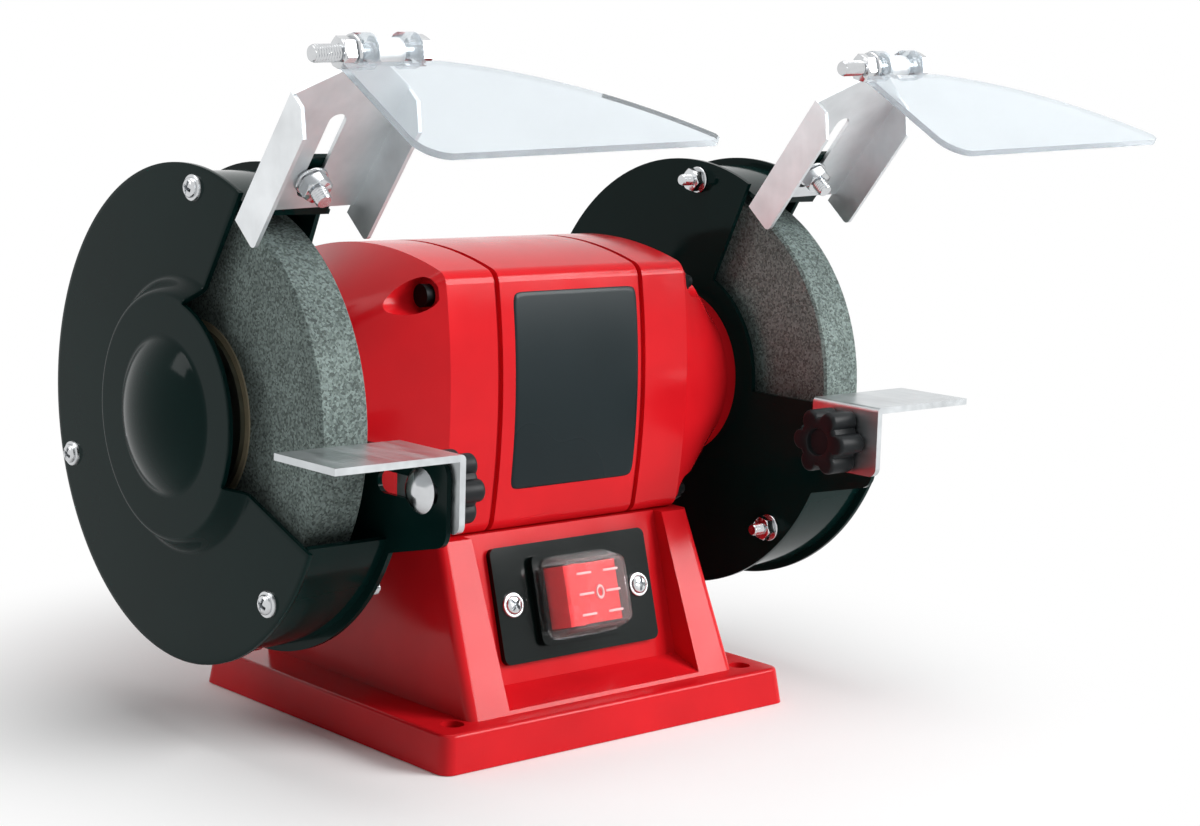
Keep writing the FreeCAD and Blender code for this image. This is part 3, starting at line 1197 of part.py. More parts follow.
def eye_shield():
    """A clear plate, its back edge swept forward to a tip, with two knuckles on the hinge bolt."""
    left = SHIELD_LEFT
    right = left + SHIELD_WIDTH
    left_lug, right_lug = lug_starts()
    relief_end = right_lug + LUG_LENGTH + LUG_GAP + FIX_NUT_THICK + LUG_GAP
    low = HINGE_S - SHIELD_THICK / 2
    t = HINGE_T
    back = t + SHIELD_RELIEF
    front = t + SHIELD_REACH
    bulge = V(relief_end + SHIELD_SWEEP_ALONG * (right - relief_end), low,
              back + SHIELD_SWEEP_OUT * (front - back))
    back_left = V(left, low, back)
    turn = V(relief_end, low, back)
    tip = V(right, low, front - SHIELD_TIP)
    front_right = V(right, low, front)
    front_left = V(left, low, front)
    edges = [Part.makeLine(back_left, turn), Part.Arc(turn, bulge, tip).toShape(),
             Part.makeLine(tip, front_right), Part.makeLine(front_right, front_left),
             Part.makeLine(front_left, back_left)]
    plate = Part.Face(Part.Wire(edges)).extrude(V(0, SHIELD_THICK, 0))
    for corner, radius in ((front_left, SHIELD_CORNER), (front_right, SHIELD_TIP_CORNER)):
        middle = corner + V(0, SHIELD_THICK / 2, 0)
        upright = [edge for edge in plate.Edges if edge.CenterOfMass.isEqual(middle, SLIP)]
        plate = plate.makeFillet(radius, upright)
    for start in (left_lug, right_lug):
        axis = V(start, HINGE_S, t)
        knuckle = rod(LUG_DIAMETER, axis, LUG_LENGTH, X_AXIS)
        neck = block(V(start, low, t), V(start + LUG_LENGTH, low + SHIELD_THICK, t + SHIELD_RELIEF + 1))
        plate = plate.fuse(knuckle).fuse(neck)
        plate = plate.cut(rod(HINGE_BOLT + 2 * RUNNING, axis - X_AXIS, LUG_LENGTH + 2, X_AXIS))
    plate = plate.removeSplitter()
    plate.rotate(V(0, HINGE_S, t), X_AXIS, -SHIELD_LIFT)
    return plate


def shield_nodes():
    """Both shield assemblies, the right one a moved copy of the left."""
    nodes = {}
    bolts = []
    nuts = []
    for side, x in (("left", -WHEEL_CENTRE), ("right", WHEEL_CENTRE)):
        nodes[side + "_shield_bracket"] = placed(shield_bracket(), x)
        nodes[side + "_hinge_bolt"] = Part.makeCompound([placed(piece, x) for piece in hinge_bolt()])
        nodes[side + "_eye_shield"] = placed(eye_shield(), x)
        bolts.append(placed(bracket_bolt(), x, 0))
        nuts += [placed(piece, x, 0) for piece in bracket_nut()]
    nodes["bracket_bolts"] = Part.makeCompound(bolts)
    nodes["bracket_nuts"] = Part.makeCompound(nuts)
    return nodes


def handed_nodes():
    """Pieces made for the right-hand side and mirrored for the left."""
    makers = {"end_bell": right_end_bell, "wheel": right_wheel, "wheel_nut": right_wheel_nut,
              "inner_guard": right_inner_guard, "guard_cover": right_guard_cover,
              "tool_rest": right_tool_rest, "rest_bolt": right_rest_bolt, "rest_knob": right_rest_knob}
    nodes = {}
    for name, make in makers.items():
        shape = make()
        nodes["right_" + name] = shape
        nodes["left_" + name] = mirrored(shape)
    return nodes


SINGLE_NODES = (
    base_pedestal, bottom_plate, bottom_plate_screws, pedestal_screws, cord_gland,
    capacitor, capacitor_clamp, capacitor_screws,
    switch_plate, switch_plate_screws, switch_body, switch_terminals, rocker, switch_boot,
    stator_housing, tie_bolts, tie_nuts, stator_core, stator_windings, motor_shaft, rotor_core,
    bearing_outer_rings, bearing_inner_rings, bearing_balls, wave_washer,
    wheel_blotters, inner_flanges, outer_flanges,
    guard_cover_screws, guard_cover_washers, guard_cover_nuts, guard_mount_screws,
)


def main():
    nodes = {make.__name__: make() for make in SINGLE_NODES}
    nodes.update(handed_nodes())
    nodes.update(shield_nodes())
    os.makedirs("parts", exist_ok=True)
    for name, shape in nodes.items():
        shape.exportStep(os.path.join("parts", name + ".step"))
    print(len(nodes), "nodes")


main()
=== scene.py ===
"""Looks of a bench grinder: enamel, abrasive, zinc plate, clear plastic, and its fine pieces."""

import json
import math

import bmesh
import bpy
import numpy as np
from mathutils import Matrix, Vector


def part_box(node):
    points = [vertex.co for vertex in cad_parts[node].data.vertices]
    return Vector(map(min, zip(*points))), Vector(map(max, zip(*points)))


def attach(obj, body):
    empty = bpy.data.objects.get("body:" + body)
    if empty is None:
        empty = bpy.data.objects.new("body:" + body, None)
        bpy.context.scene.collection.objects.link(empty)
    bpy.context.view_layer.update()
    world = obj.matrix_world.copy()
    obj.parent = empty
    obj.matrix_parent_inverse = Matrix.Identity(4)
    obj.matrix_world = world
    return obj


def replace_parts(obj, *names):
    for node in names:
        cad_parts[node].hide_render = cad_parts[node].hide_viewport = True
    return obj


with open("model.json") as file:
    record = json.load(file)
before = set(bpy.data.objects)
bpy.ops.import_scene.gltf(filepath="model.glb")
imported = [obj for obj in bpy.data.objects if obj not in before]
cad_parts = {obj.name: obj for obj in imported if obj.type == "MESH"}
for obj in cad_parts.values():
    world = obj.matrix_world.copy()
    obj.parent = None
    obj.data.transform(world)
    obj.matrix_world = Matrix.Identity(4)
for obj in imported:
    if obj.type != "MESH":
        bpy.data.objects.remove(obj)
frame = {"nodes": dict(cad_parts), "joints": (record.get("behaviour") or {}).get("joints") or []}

bl_info = {
    "name": "Bench grinder looks",
    "version": (1, 0, 0),
    "blender": (4, 5, 0),
    "location": "3D View > Sidebar > Grinder",
    "description": "Finishes and fine pieces of a bench grinder",
    "category": "Object",
}

MM = 0.001
X_AXIS = Vector((1, 0, 0))
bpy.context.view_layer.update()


def linear(code):
    """An sRGB hex colour as linear red, green and blue."""
    srgb = np.array([int(code[i:i + 2], 16) for i in (1, 3, 5)]) / 255
    low = srgb / 12.92
    high = ((srgb + 0.055) / 1.055) ** 2.4
    return tuple(float(c) for c in np.where(srgb <= 0.04045, low, high))


def node_middle(name):
    """Middle of a CAD node's box."""
    low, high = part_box(name)
    return (low + high) / 2


def joint_named(name):
    """A joint's row of the frame."""
    return next(joint for joint in frame["joints"] if joint["name"] == name)


SHAFT = node_middle("motor_shaft")
WHEEL_X = node_middle("right_wheel").x
GUARD_RADIUS = (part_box("right_guard_cover")[1].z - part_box("right_guard_cover")[0].z) / 2
COVER_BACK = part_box("right_guard_cover")[0].x
GUARD_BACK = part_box("right_inner_guard")[0].x

# The switch panel's frame: its middle on the switch plate's face, the way up its slope and the way out of it.
PANEL_PLACE = Vector(joint_named("rocker_tip")["pos_m"])
PANEL_UP = -Vector(joint_named("rocker_tip")["axis"])
PANEL_OUT = X_AXIS.cross(PANEL_UP)

# Shield brackets lean forward by this angle round the shaft.
# Outward is along the lean, and forward is square to it.
BRACKET_LEAN = math.radians(49.5)
BRACKET_OUTWARD = Vector((0, -math.cos(BRACKET_LEAN), math.sin(BRACKET_LEAN)))
BRACKET_FORWARD = Vector((0, -math.sin(BRACKET_LEAN), -math.cos(BRACKET_LEAN)))


class GrinderColours(bpy.types.PropertyGroup):
    """Colours that a user would change."""

    enamel: bpy.props.FloatVectorProperty(
        name="Enamel", description="Stoved enamel of the motor and pedestal", subtype="COLOR", size=3,
        min=0, max=1, default=linear("#CE1820"))
    guard: bpy.props.FloatVectorProperty(
        name="Guard", description="Black enamel of the wheel guards", subtype="COLOR", size=3,
        min=0, max=1, default=linear("#08211F"))
    grit: bpy.props.FloatVectorProperty(
        name="Grit", description="Middle grey of the abrasive", subtype="COLOR", size=3,
        min=0, max=1, default=linear("#76837F"))
    plate: bpy.props.FloatVectorProperty(
        name="Plate", description="Bare label plate", subtype="COLOR", size=3,
        min=0, max=1, default=linear("#152124"))


class GrinderSizes(bpy.types.PropertyGroup):
    """Sizes that a user would change."""

    sheet: bpy.props.FloatProperty(
        name="Sheet", description="Thickness of the pressed guard cover", unit="LENGTH", default=1.5 * MM)
    step_rise: bpy.props.FloatProperty(
        name="Step rise", description="Height of the cover's raised round step", unit="LENGTH",
        default=5.5 * MM)
    dome_rise: bpy.props.FloatProperty(
        name="Dome rise", description="Height of the cover's dome above its step", unit="LENGTH",
        default=7.5 * MM)
    label_width: bpy.props.FloatProperty(
        name="Label width", description="Width of the bare label plate", unit="LENGTH", default=51 * MM)
    label_height: bpy.props.FloatProperty(
        name="Label height", description="Height of the bare label plate", unit="LENGTH", default=62 * MM)
    grit_size: bpy.props.FloatProperty(
        name="Grit size", description="Spacing of the abrasive's grains, drawn coarse so that it shows",
        unit="LENGTH", default=0.62 * MM)


def colours():
    """The colours as a user has set them."""
    return bpy.context.scene.grinder_colours


def sizes():
    """The sizes as a user has set them."""
    return bpy.context.scene.grinder_sizes


# Materials


# Values of a noise at which a pattern reaches its first and its second tone.
MIDDLE = (0.3, 0.7)


def add(tree, kind, links=None, stops=(), **settings):
    """Add a node, set its attributes, set or link its inputs by name or number, and set a ramp's stops."""
    node = tree.nodes.new(kind)
    for name, value in settings.items():
        setattr(node, name, value)
    for name, value in (links or {}).items():
        if isinstance(value, bpy.types.NodeSocket):
            tree.links.new(value, node.inputs[name])
        else:
            node.inputs[name].default_value = value
    for number, (place, colour) in enumerate(stops):
        node.color_ramp.elements[number].position = place
        node.color_ramp.elements[number].color = (*colour, 1.0)
    return node


def new_material(name):
    """An empty node material and its tree."""
    material = bpy.data.materials.new(name)
    material.use_nodes = True
    material.node_tree.nodes.clear()
    return material, material.node_tree


def tones(colour, dark, light, places=MIDDLE):
    """A ramp's stops from a darker to a lighter tone of a colour."""
    pair = [tuple(min(1.0, c * factor) for c in colour) for factor in (dark, light)]
    return tuple(zip(places, pair))


def greys(values, places=MIDDLE):
    """A ramp's stops from one plain value to another."""
    return tuple((place, (value, value, value)) for place, value in zip(places, values))


def per_mm(size):
    """Texture scale that gives a pattern one cycle in this many millimetres."""
    return 1.0 / (size * MM)


def wave_per_mm(size):
    """Wave texture scale for bands this many millimetres apart: its phase is 20 times the scaled place."""
    return 2 * math.pi / (20 * size * MM)


def stoved_enamel(name, colour, peel, roughness, gleam):
    """Gloss enamel sprayed and baked: a clear glossy skin with a faint orange peel and uneven gloss."""
    material, tree = new_material(name)
    place = add(tree, "ShaderNodeTexCoord").outputs["Object"]
    drift = add(tree, "ShaderNodeTexNoise", {"Vector": place, "Scale": per_mm(35), "Detail": 3.0})
    skin = add(tree, "ShaderNodeTexNoise", {"Vector": place, "Scale": per_mm(peel), "Detail": 1.0})
    smear = add(tree, "ShaderNodeTexNoise", {"Vector": place, "Scale": per_mm(12), "Detail": 4.0})
    base = add(tree, "ShaderNodeValToRGB", {"Fac": drift.outputs["Fac"]}, tones(colour, 0.9, 1.08))
    gloss = add(tree, "ShaderNodeValToRGB", {"Fac": smear.outputs["Fac"]}, greys(roughness, (0.3, 0.75)))
    bump = add(tree, "ShaderNodeBump", {
        "Height": skin.outputs["Fac"], "Strength": 0.12, "Distance": 0.05 * MM})
    shader = add(tree, "ShaderNodeBsdfPrincipled", {
        "Base Color": base.outputs["Color"], "Roughness": gloss.outputs["Color"],
        "Normal": bump.outputs["Normal"], "IOR": 1.5, "Specular IOR Level": gleam})
    add(tree, "ShaderNodeOutputMaterial", {"Surface": shader.outputs["BSDF"]})
    return material


def vitrified_abrasive(name, colour, grit):
    """Aluminium oxide grains in a glassy bond: grey speckle, pores and a rough open face."""
    material, tree = new_material(name)
    place = add(tree, "ShaderNodeTexCoord").outputs["Object"]
    grains = add(tree, "ShaderNodeTexVoronoi", {"Vector": place, "Scale": 1.0 / grit}, feature="F1")
    tone = add(tree, "ShaderNodeSeparateColor", {"Color": grains.outputs["Color"]})
    cloud = add(tree, "ShaderNodeTexNoise", {"Vector": place, "Scale": per_mm(9), "Detail": 2.0})
    dust = add(tree, "ShaderNodeTexNoise", {"Vector": place, "Scale": per_mm(0.5), "Detail": 2.0})
    speckle = add(tree, "ShaderNodeValToRGB", {"Fac": tone.outputs[0]}, tones(colour, 0.5, 1.5, (0.08, 0.95)))
    shade = add(tree, "ShaderNodeValToRGB", {"Fac": cloud.outputs["Fac"]}, greys((0.78, 1.0)))
    base = add(tree, "ShaderNodeMix", {
        "Factor": 1.0, "A": speckle.outputs["Color"], "B": shade.outputs["Color"]},
        data_type="RGBA", blend_type="MULTIPLY")
    height = add(tree, "ShaderNodeMath", {0: tone.outputs[1], 1: dust.outputs["Fac"]}, operation="ADD")
    bump = add(tree, "ShaderNodeBump", {
        "Height": height.outputs[0], "Strength": 0.7, "Distance": 0.25 * MM})
    shader = add(tree, "ShaderNodeBsdfPrincipled", {
        "Base Color": base.outputs["Result"], "Roughness": 0.86, "Normal": bump.outputs["Normal"],
        "Specular IOR Level": 0.35})
    add(tree, "ShaderNodeOutputMaterial", {"Surface": shader.outputs["BSDF"]})
    return material


def zinc_plate(name, colour, roughness, stretch=(1.0, 1.0, 1.0)):
    """Plated or bare rolled steel: a soft metal sheen with rolling streaks and faint clouds."""
    material, tree = new_material(name)
    place = add(tree, "ShaderNodeTexCoord").outputs["Object"]
    along = add(tree, "ShaderNodeMapping", {"Vector": place, "Scale": stretch})
    streaks = add(tree, "ShaderNodeTexNoise", {
        "Vector": along.outputs["Vector"], "Scale": per_mm(2.5), "Detail": 3.0})
    cloud = add(tree, "ShaderNodeTexNoise", {"Vector": place, "Scale": per_mm(14), "Detail": 3.0})
    base = add(tree, "ShaderNodeValToRGB", {"Fac": cloud.outputs["Fac"]}, tones(colour, 0.86, 1.04))
    rough = add(tree, "ShaderNodeValToRGB", {"Fac": streaks.outputs["Fac"]}, greys(roughness))
    bump = add(tree, "ShaderNodeBump", {
        "Height": streaks.outputs["Fac"], "Strength": 0.06, "Distance": 0.03 * MM})
    shader = add(tree, "ShaderNodeBsdfPrincipled", {
        "Base Color": base.outputs["Color"], "Metallic": 1.0, "Roughness": rough.outputs["Color"],
        "Normal": bump.outputs["Normal"]})
    add(tree, "ShaderNodeOutputMaterial", {"Surface": shader.outputs["BSDF"]})
    return material


def clear_plastic(name, colour, ior, roughness, haze, milk):
    """Clear moulded sheet: refracts a little, with faint haze and a tint that gathers at the edges."""
    material, tree = new_material(name)
    place = add(tree, "ShaderNodeTexCoord").outputs["Object"]
    cloud = add(tree, "ShaderNodeTexNoise", {"Vector": place, "Scale": per_mm(18), "Detail": 3.0})
    rough = add(tree, "ShaderNodeValToRGB", {"Fac": cloud.outputs["Fac"]},
                greys((roughness, roughness + haze), (0.35, 0.7)))
    tint = add(tree, "ShaderNodeValToRGB", {"Fac": cloud.outputs["Fac"]}, tones(colour, 0.97, 1.0))
    shader = add(tree, "ShaderNodeBsdfPrincipled", {
        "Base Color": tint.outputs["Color"], "Roughness": rough.outputs["Color"], "IOR": ior,
        "Transmission Weight": 1.0 - milk})
    add(tree, "ShaderNodeOutputMaterial", {"Surface": shader.outputs["BSDF"]})
    return material


def moulded_plastic(name, colour, roughness, grain, drift_size=8.0):
    """Injection-moulded plastic: a fine spark-eroded grain and slightly uneven gloss."""
    material, tree = new_material(name)
    place = add(tree, "ShaderNodeTexCoord").outputs["Object"]
    skin = add(tree, "ShaderNodeTexNoise", {"Vector": place, "Scale": per_mm(grain), "Detail": 2.0})
    drift = add(tree, "ShaderNodeTexNoise", {"Vector": place, "Scale": per_mm(drift_size), "Detail": 2.0})
    base = add(tree, "ShaderNodeValToRGB", {"Fac": drift.outputs["Fac"]}, tones(colour, 0.88, 1.1))
    rough = add(tree, "ShaderNodeValToRGB", {"Fac": drift.outputs["Fac"]},
                greys((roughness, roughness + 0.12)))
    bump = add(tree, "ShaderNodeBump", {
        "Height": skin.outputs["Fac"], "Strength": 0.12, "Distance": 0.04 * MM})
    shader = add(tree, "ShaderNodeBsdfPrincipled", {
        "Base Color": base.outputs["Color"], "Roughness": rough.outputs["Color"],
        "Normal": bump.outputs["Normal"], "IOR": 1.5, "Specular IOR Level": 0.18})
    add(tree, "ShaderNodeOutputMaterial", {"Surface": shader.outputs["BSDF"]})
    return material


def laminated_steel(name, colour):
    """Stacked electrical sheet: fine lines across the shaft, half a millimetre apart."""
    material, tree = new_material(name)
    place = add(tree, "ShaderNodeTexCoord").outputs["Object"]
    lines = add(tree, "ShaderNodeTexWave", {"Vector": place, "Scale": wave_per_mm(0.5), "Distortion": 0.4},
                bands_direction="X")
    base = add(tree, "ShaderNodeValToRGB", {"Fac": lines.outputs["Fac"]}, tones(colour, 0.7, 1.1, (0.2, 0.8)))
    shader = add(tree, "ShaderNodeBsdfPrincipled", {
        "Base Color": base.outputs["Color"], "Metallic": 1.0, "Roughness": 0.45})
    add(tree, "ShaderNodeOutputMaterial", {"Surface": shader.outputs["BSDF"]})
    return material


def varnished_copper(name, colour):
    """Enamelled wire set in varnish: wire rows round the coil, under a brown gloss."""
    material, tree = new_material(name)
    place = add(tree, "ShaderNodeTexCoord").outputs["Object"]
    rows = add(tree, "ShaderNodeTexWave", {"Vector": place, "Scale": wave_per_mm(0.8), "Distortion": 1.5},
               bands_direction="X")
    base = add(tree, "ShaderNodeValToRGB", {"Fac": rows.outputs["Fac"]}, tones(colour, 0.55, 1.0, (0.2, 0.8)))
    bump = add(tree, "ShaderNodeBump", {
        "Height": rows.outputs["Fac"], "Strength": 0.5, "Distance": 0.2 * MM})
    shader = add(tree, "ShaderNodeBsdfPrincipled", {
        "Base Color": base.outputs["Color"], "Metallic": 0.6, "Roughness": 0.35,
        "Normal": bump.outputs["Normal"]})
    add(tree, "ShaderNodeOutputMaterial", {"Surface": shader.outputs["BSDF"]})
    return material


def dress(material, *names):
    """Give these CAD nodes this material."""
    for name in names:
        mesh = frame["nodes"][name].data
        mesh.materials.clear()
        mesh.materials.append(material)


# Surfaces


def grid_faces(rows, columns, wrap):
    """Quads of a grid of points, the columns closed into a ring where wrap is true."""
    last = columns if wrap else columns - 1
    row, column = np.meshgrid(np.arange(rows - 1), np.arange(last), indexing="ij")
    following = (column + 1) % columns
    quads = np.stack([row * columns + column, row * columns + following,
                      (row + 1) * columns + following, (row + 1) * columns + column], axis=-1)
    return quads.reshape(-1, 4)


def join(parts):
    """Several (points, faces) pairs as one."""
    offsets = np.cumsum([0] + [len(part[0]) for part in parts[:-1]])
    points = np.concatenate([part[0] for part in parts])
    faces = np.concatenate([part[1] + offset for part, offset in zip(parts, offsets)])
    return points, faces


def make_piece(name, parts, material, body, smooth_angle):
    """A mesh from (points, faces) pairs, merged, pointing outwards and smoothed below an angle."""
    points, faces = join(parts)
    mesh = bpy.data.meshes.new(name)
    mesh.from_pydata(points, [], faces.tolist())
    mesh.update()
    piece = bpy.data.objects.new(name, mesh)
    bpy.context.scene.collection.objects.link(piece)
    tidy_mesh(mesh)
    mesh.shade_smooth()
    mesh.set_sharp_from_angle(angle=math.radians(smooth_angle))
    mesh.materials.append(material)
    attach(piece, body)
    return piece


WELD = 0.001 * MM
SLIVER = 0.0001 * MM


def tidy_mesh(mesh):
    """Weld doubled points and poles and turn the faces outwards."""
    work = bmesh.new()
    work.from_mesh(mesh)
    bmesh.ops.remove_doubles(work, verts=work.verts, dist=WELD)
    bmesh.ops.dissolve_degenerate(work, edges=work.edges, dist=SLIVER)
    bmesh.ops.recalc_face_normals(work, faces=work.faces)
    work.to_mesh(mesh)
    work.free()


def moved(part, origin, axis, spin=0.0):
    """A part made along +X, spun about it, turned so that +X is axis, and put at origin."""
    points, faces = part
    turn = X_AXIS.rotation_difference(Vector(axis)).to_matrix() @ Matrix.Rotation(spin, 3, "X")
    return points @ np.array(turn).T + np.array(origin), faces


def lathe(stations, radius, count=48):
    """Skin round the X axis: point(i, a) = (x_i, r(x_i, a) cos a, r(x_i, a) sin a), closed at both ends."""
    angle = np.linspace(0, 2 * np.pi, count, endpoint=False)
    x = np.concatenate([stations[:1], stations, stations[-1:]])
    along, around = np.meshgrid(x, angle, indexing="ij")
    reach = np.broadcast_to(radius(along, around), along.shape).copy()
    reach[0] = 0
    reach[-1] = 0
    points = np.stack([along, reach * np.cos(around), reach * np.sin(around)], axis=-1)
    return points.reshape(-1, 3), grid_faces(len(x), count, True)


THREAD_DEPTH = 0.55
THREAD_STATIONS = 8
THREAD_COLUMNS = 28


def stud(length, diameter, threaded, pitch):
    """A rod whose last stretch is threaded: the radius falls by a triangle wave of x / pitch - a / 2 pi."""
    depth = THREAD_DEPTH * pitch
    plain = length - threaded
    turns = np.linspace(plain, length, int(threaded / pitch * THREAD_STATIONS) + 2)
    stations = np.concatenate([np.linspace(0, plain, 2), turns])

    def radius(x, a):
        phase = ((x - plain) / pitch - a / (2 * np.pi)) % 1.0
        groove = np.abs(2 * phase - 1) * np.clip((x - plain) / pitch, 0, 1)
        point = np.clip((x - length) / pitch + 1, 0, 1)
        return diameter / 2 - depth * np.maximum(groove, point)
    return lathe(stations, radius, THREAD_COLUMNS)


HEX_STATIONS = np.array([0, 0.04, 0.08, 0.13, 0.2, 0.5, 0.8, 0.87, 0.92, 0.96, 1.0])
HEX_FACE = 0.97
HEX_CONE = 1.7
HEX_COLUMNS = 72


def hexagon(flats, thick):
    """A nut or bolt head: radius flats / 2 / cos(a) in each sixth of a turn, cut by a cone at both faces."""
    def radius(x, a):
        corner = flats / 2 / np.cos((a % (np.pi / 3)) - np.pi / 6)
        cone = flats / 2 * HEX_FACE + np.minimum(x, thick - x) * HEX_CONE
        return np.minimum(corner, cone)
    return lathe(thick * HEX_STATIONS, radius, HEX_COLUMNS)


def washer(diameter, thick):
    """A flat ring whose edge is rounded: the radius loses a quarter of the thickness towards both faces."""
    def radius(x, a):
        face = np.abs(2 * x / thick - 1)
        return diameter / 2 - 0.25 * thick * face ** 3
    return lathe(np.linspace(0, thick, 9), radius, 48)


def cross_head(diameter, height):
    """A flanged pan head over polar r, a: a low flange, a dome inside it, less a cross-shaped pit."""
    rings = 44
    count = 128
    flange_rise, flange_edge = 0.42, 0.08
    dome_rise, dome_reach, dome_power = 0.58, 0.74, 3.5
    arm_half, arm_slope = 0.13, 0.06
    arm_end, end_slope = 0.52, 0.12
    pit_depth = 0.8
    share, angle = np.meshgrid(np.linspace(0, 1, rings), np.linspace(0, 2 * np.pi, count, endpoint=False),
                               indexing="ij")
    y = share * np.cos(angle)
    z = share * np.sin(angle)
    flange = flange_rise * np.clip((1 - share) / flange_edge, 0, 1) ** 0.5
    dome = dome_rise * np.sqrt(np.clip(1 - (share / dome_reach) ** dome_power, 0, 1))
    arm = np.minimum(np.abs(y), np.abs(z))
    wide = np.maximum(np.abs(y), np.abs(z))
    pit = np.clip((arm_half - arm) / arm_slope, 0, 1) * np.clip((arm_end - wide) / end_slope, 0, 1)
    x = height * (flange + dome - pit_depth * pit)
    top = np.stack([x, y * diameter / 2, z * diameter / 2], axis=-1)
    base = np.concatenate([top[-1:], np.zeros_like(top[:1])])
    return join([(top.reshape(-1, 3), grid_faces(rings, count, True)),
                 (base.reshape(-1, 3), grid_faces(2, count, True))])


def squircle(columns, rows, power):
    """A square grid drawn to a rounded square: (u, v) times max(|u|, |v|) / (|u|^p + |v|^p)^(1/p)."""
    u, v = np.meshgrid(np.linspace(-1, 1, columns), np.linspace(-1, 1, rows), indexing="ij")
    reach = np.maximum(np.abs(u), np.abs(v))
    norm = (np.abs(u) ** power + np.abs(v) ** power) ** (1 / power)
    pull = np.divide(reach, norm, out=np.ones_like(reach), where=norm > 0)
    return u * pull, v * pull, reach


# Pieces


STEP_RADIUS = 41 * MM
STEP_SLOPE = 5.5 * MM
DOME_RADIUS = 23 * MM
DOME_POWER = 0.85
COVER_CORE = 35 * MM
STEP_RINGS = (42 * MM, 18)
RIM_RINGS = (43 * MM, 24)
CORE_RINGS = 40
COVER_COLUMNS = 180
WEDGE_COLUMNS = 60
# Angles from the front, over the top, at which the notch's edges leave the core and reach the rim.
NOTCH_UPPER = (74.0, 65.0)
NOTCH_LOWER = (-27.5, -24.0)
COVER_EDGE = 0.35 * MM


def cover_rise(radius):
    """The cover's height over its rim: a rounded step from 41 to 35.5 mm and a dome inside 23 mm."""
    settings = sizes()
    share = np.clip((STEP_RADIUS - radius) / STEP_SLOPE, 0, 1)
    step = settings.step_rise * share * share * (3 - 2 * share)
    inside = np.clip(1 - (radius / DOME_RADIUS) ** 2, 0, 1)
    return step + settings.dome_rise * inside ** DOME_POWER


def notch_angle(radius, inner_angle, rim_angle):
    """The angle at each radius of the straight line from the core to the rim."""
    def point(reach, angle):
        turn = math.radians(angle)
        return np.array([reach * math.cos(turn), reach * math.sin(turn)])
    share = np.linspace(0, 1, 200)[:, None]
    line = point(COVER_CORE, inner_angle) * (1 - share) + point(GUARD_RADIUS, rim_angle) * share
    reach = np.hypot(line[:, 0], line[:, 1])
    angle = np.arctan2(line[:, 1], line[:, 0])
    return np.interp(radius, reach, angle)


def pressed_cover(side):
    """Outer skin of a guard cover: x = rise(r) over polar r, a, with its front wedge left open."""
    radii = np.concatenate([np.linspace(COVER_CORE, *STEP_RINGS),
                            np.linspace(RIM_RINGS[0], GUARD_RADIUS, RIM_RINGS[1])])
    upper = notch_angle(radii, *NOTCH_UPPER)
    lower = notch_angle(radii, *NOTCH_LOWER) + 2 * np.pi
    share = np.linspace(0, 1, COVER_COLUMNS)
    outer_angle = upper[:, None] + (lower - upper)[:, None] * share[None, :]
    core_radii = np.linspace(0, COVER_CORE, CORE_RINGS)
    core_angle = np.broadcast_to(outer_angle[0], (CORE_RINGS, COVER_COLUMNS))
    wedge_share = np.linspace(lower[0] - 2 * np.pi, upper[0], WEDGE_COLUMNS)
    wedge_angle = np.broadcast_to(wedge_share, (CORE_RINGS, WEDGE_COLUMNS))
    parts = []
    face = COVER_BACK + sizes().sheet
    for rings, angle in ((radii, outer_angle), (core_radii, core_angle), (core_radii, wedge_angle)):
        reach = np.broadcast_to(rings[:, None], angle.shape)
        x = side * (face + cover_rise(reach))
        y = SHAFT.y - reach * np.cos(angle)
        z = SHAFT.z + reach * np.sin(angle)
        parts.append((np.stack([x, y, z], axis=-1).reshape(-1, 3), grid_faces(*angle.shape, False)))
    return parts


def face_towards(piece, direction):
    """Turn an open skin so that its normals point along direction on the whole."""
    mesh = piece.data
    normals = np.zeros(len(mesh.polygons) * 3)
    mesh.polygons.foreach_get("normal", normals)
    if normals.reshape(-1, 3).mean(axis=0) @ np.array(direction) < 0:
        mesh.flip_normals()


BEVEL_STEPS = 2
BEVEL_FROM = math.radians(50)


def thicken(piece, thickness, bevel):
    """Give a skin its sheet thickness inwards and soften its cut edges."""
    solidify = piece.modifiers.new("Sheet", "SOLIDIFY")
    solidify.thickness = thickness
    solidify.offset = -1
    if not bevel:
        return
    edge = piece.modifiers.new("Edge", "BEVEL")
    edge.width = bevel
    edge.segments = BEVEL_STEPS
    edge.limit_method = "ANGLE"
    edge.angle_limit = BEVEL_FROM


class GRINDER_OT_enamel(bpy.types.Operator):
    """Red stoved enamel on the pedestal, the stator housing and the end bells"""

    bl_idname = "grinder.enamel"
    bl_label = "Enamel"

    def execute(self, context):
        red = stoved_enamel("Red stoved enamel", colours().enamel, 1.6, (0.12, 0.22), 0.15)
        dress(red, "base_pedestal", "stator_housing", "left_end_bell", "right_end_bell")
        return {"FINISHED"}


class GRINDER_OT_guards(bpy.types.Operator):
    """Black enamel guards, with the pressed covers as smooth sheet"""

    bl_idname = "grinder.guards"
    bl_label = "Guards"

    def execute(self, context):
        black = stoved_enamel("Black stoved enamel", colours().guard, 1.8, (0.08, 0.16), 0.07)
        dress(black, "left_inner_guard", "right_inner_guard", "left_guard_cover", "right_guard_cover")
        for name, side in (("left", -1), ("right", 1)):
            skin = pressed_cover(side)
            cover = make_piece(name + "_pressed_cover", skin, black, "frame", 60)
            face_towards(cover, (side, 0, 0))
            thicken(cover, sizes().sheet, COVER_EDGE)
            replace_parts(cover, name + "_guard_cover")
        return {"FINISHED"}


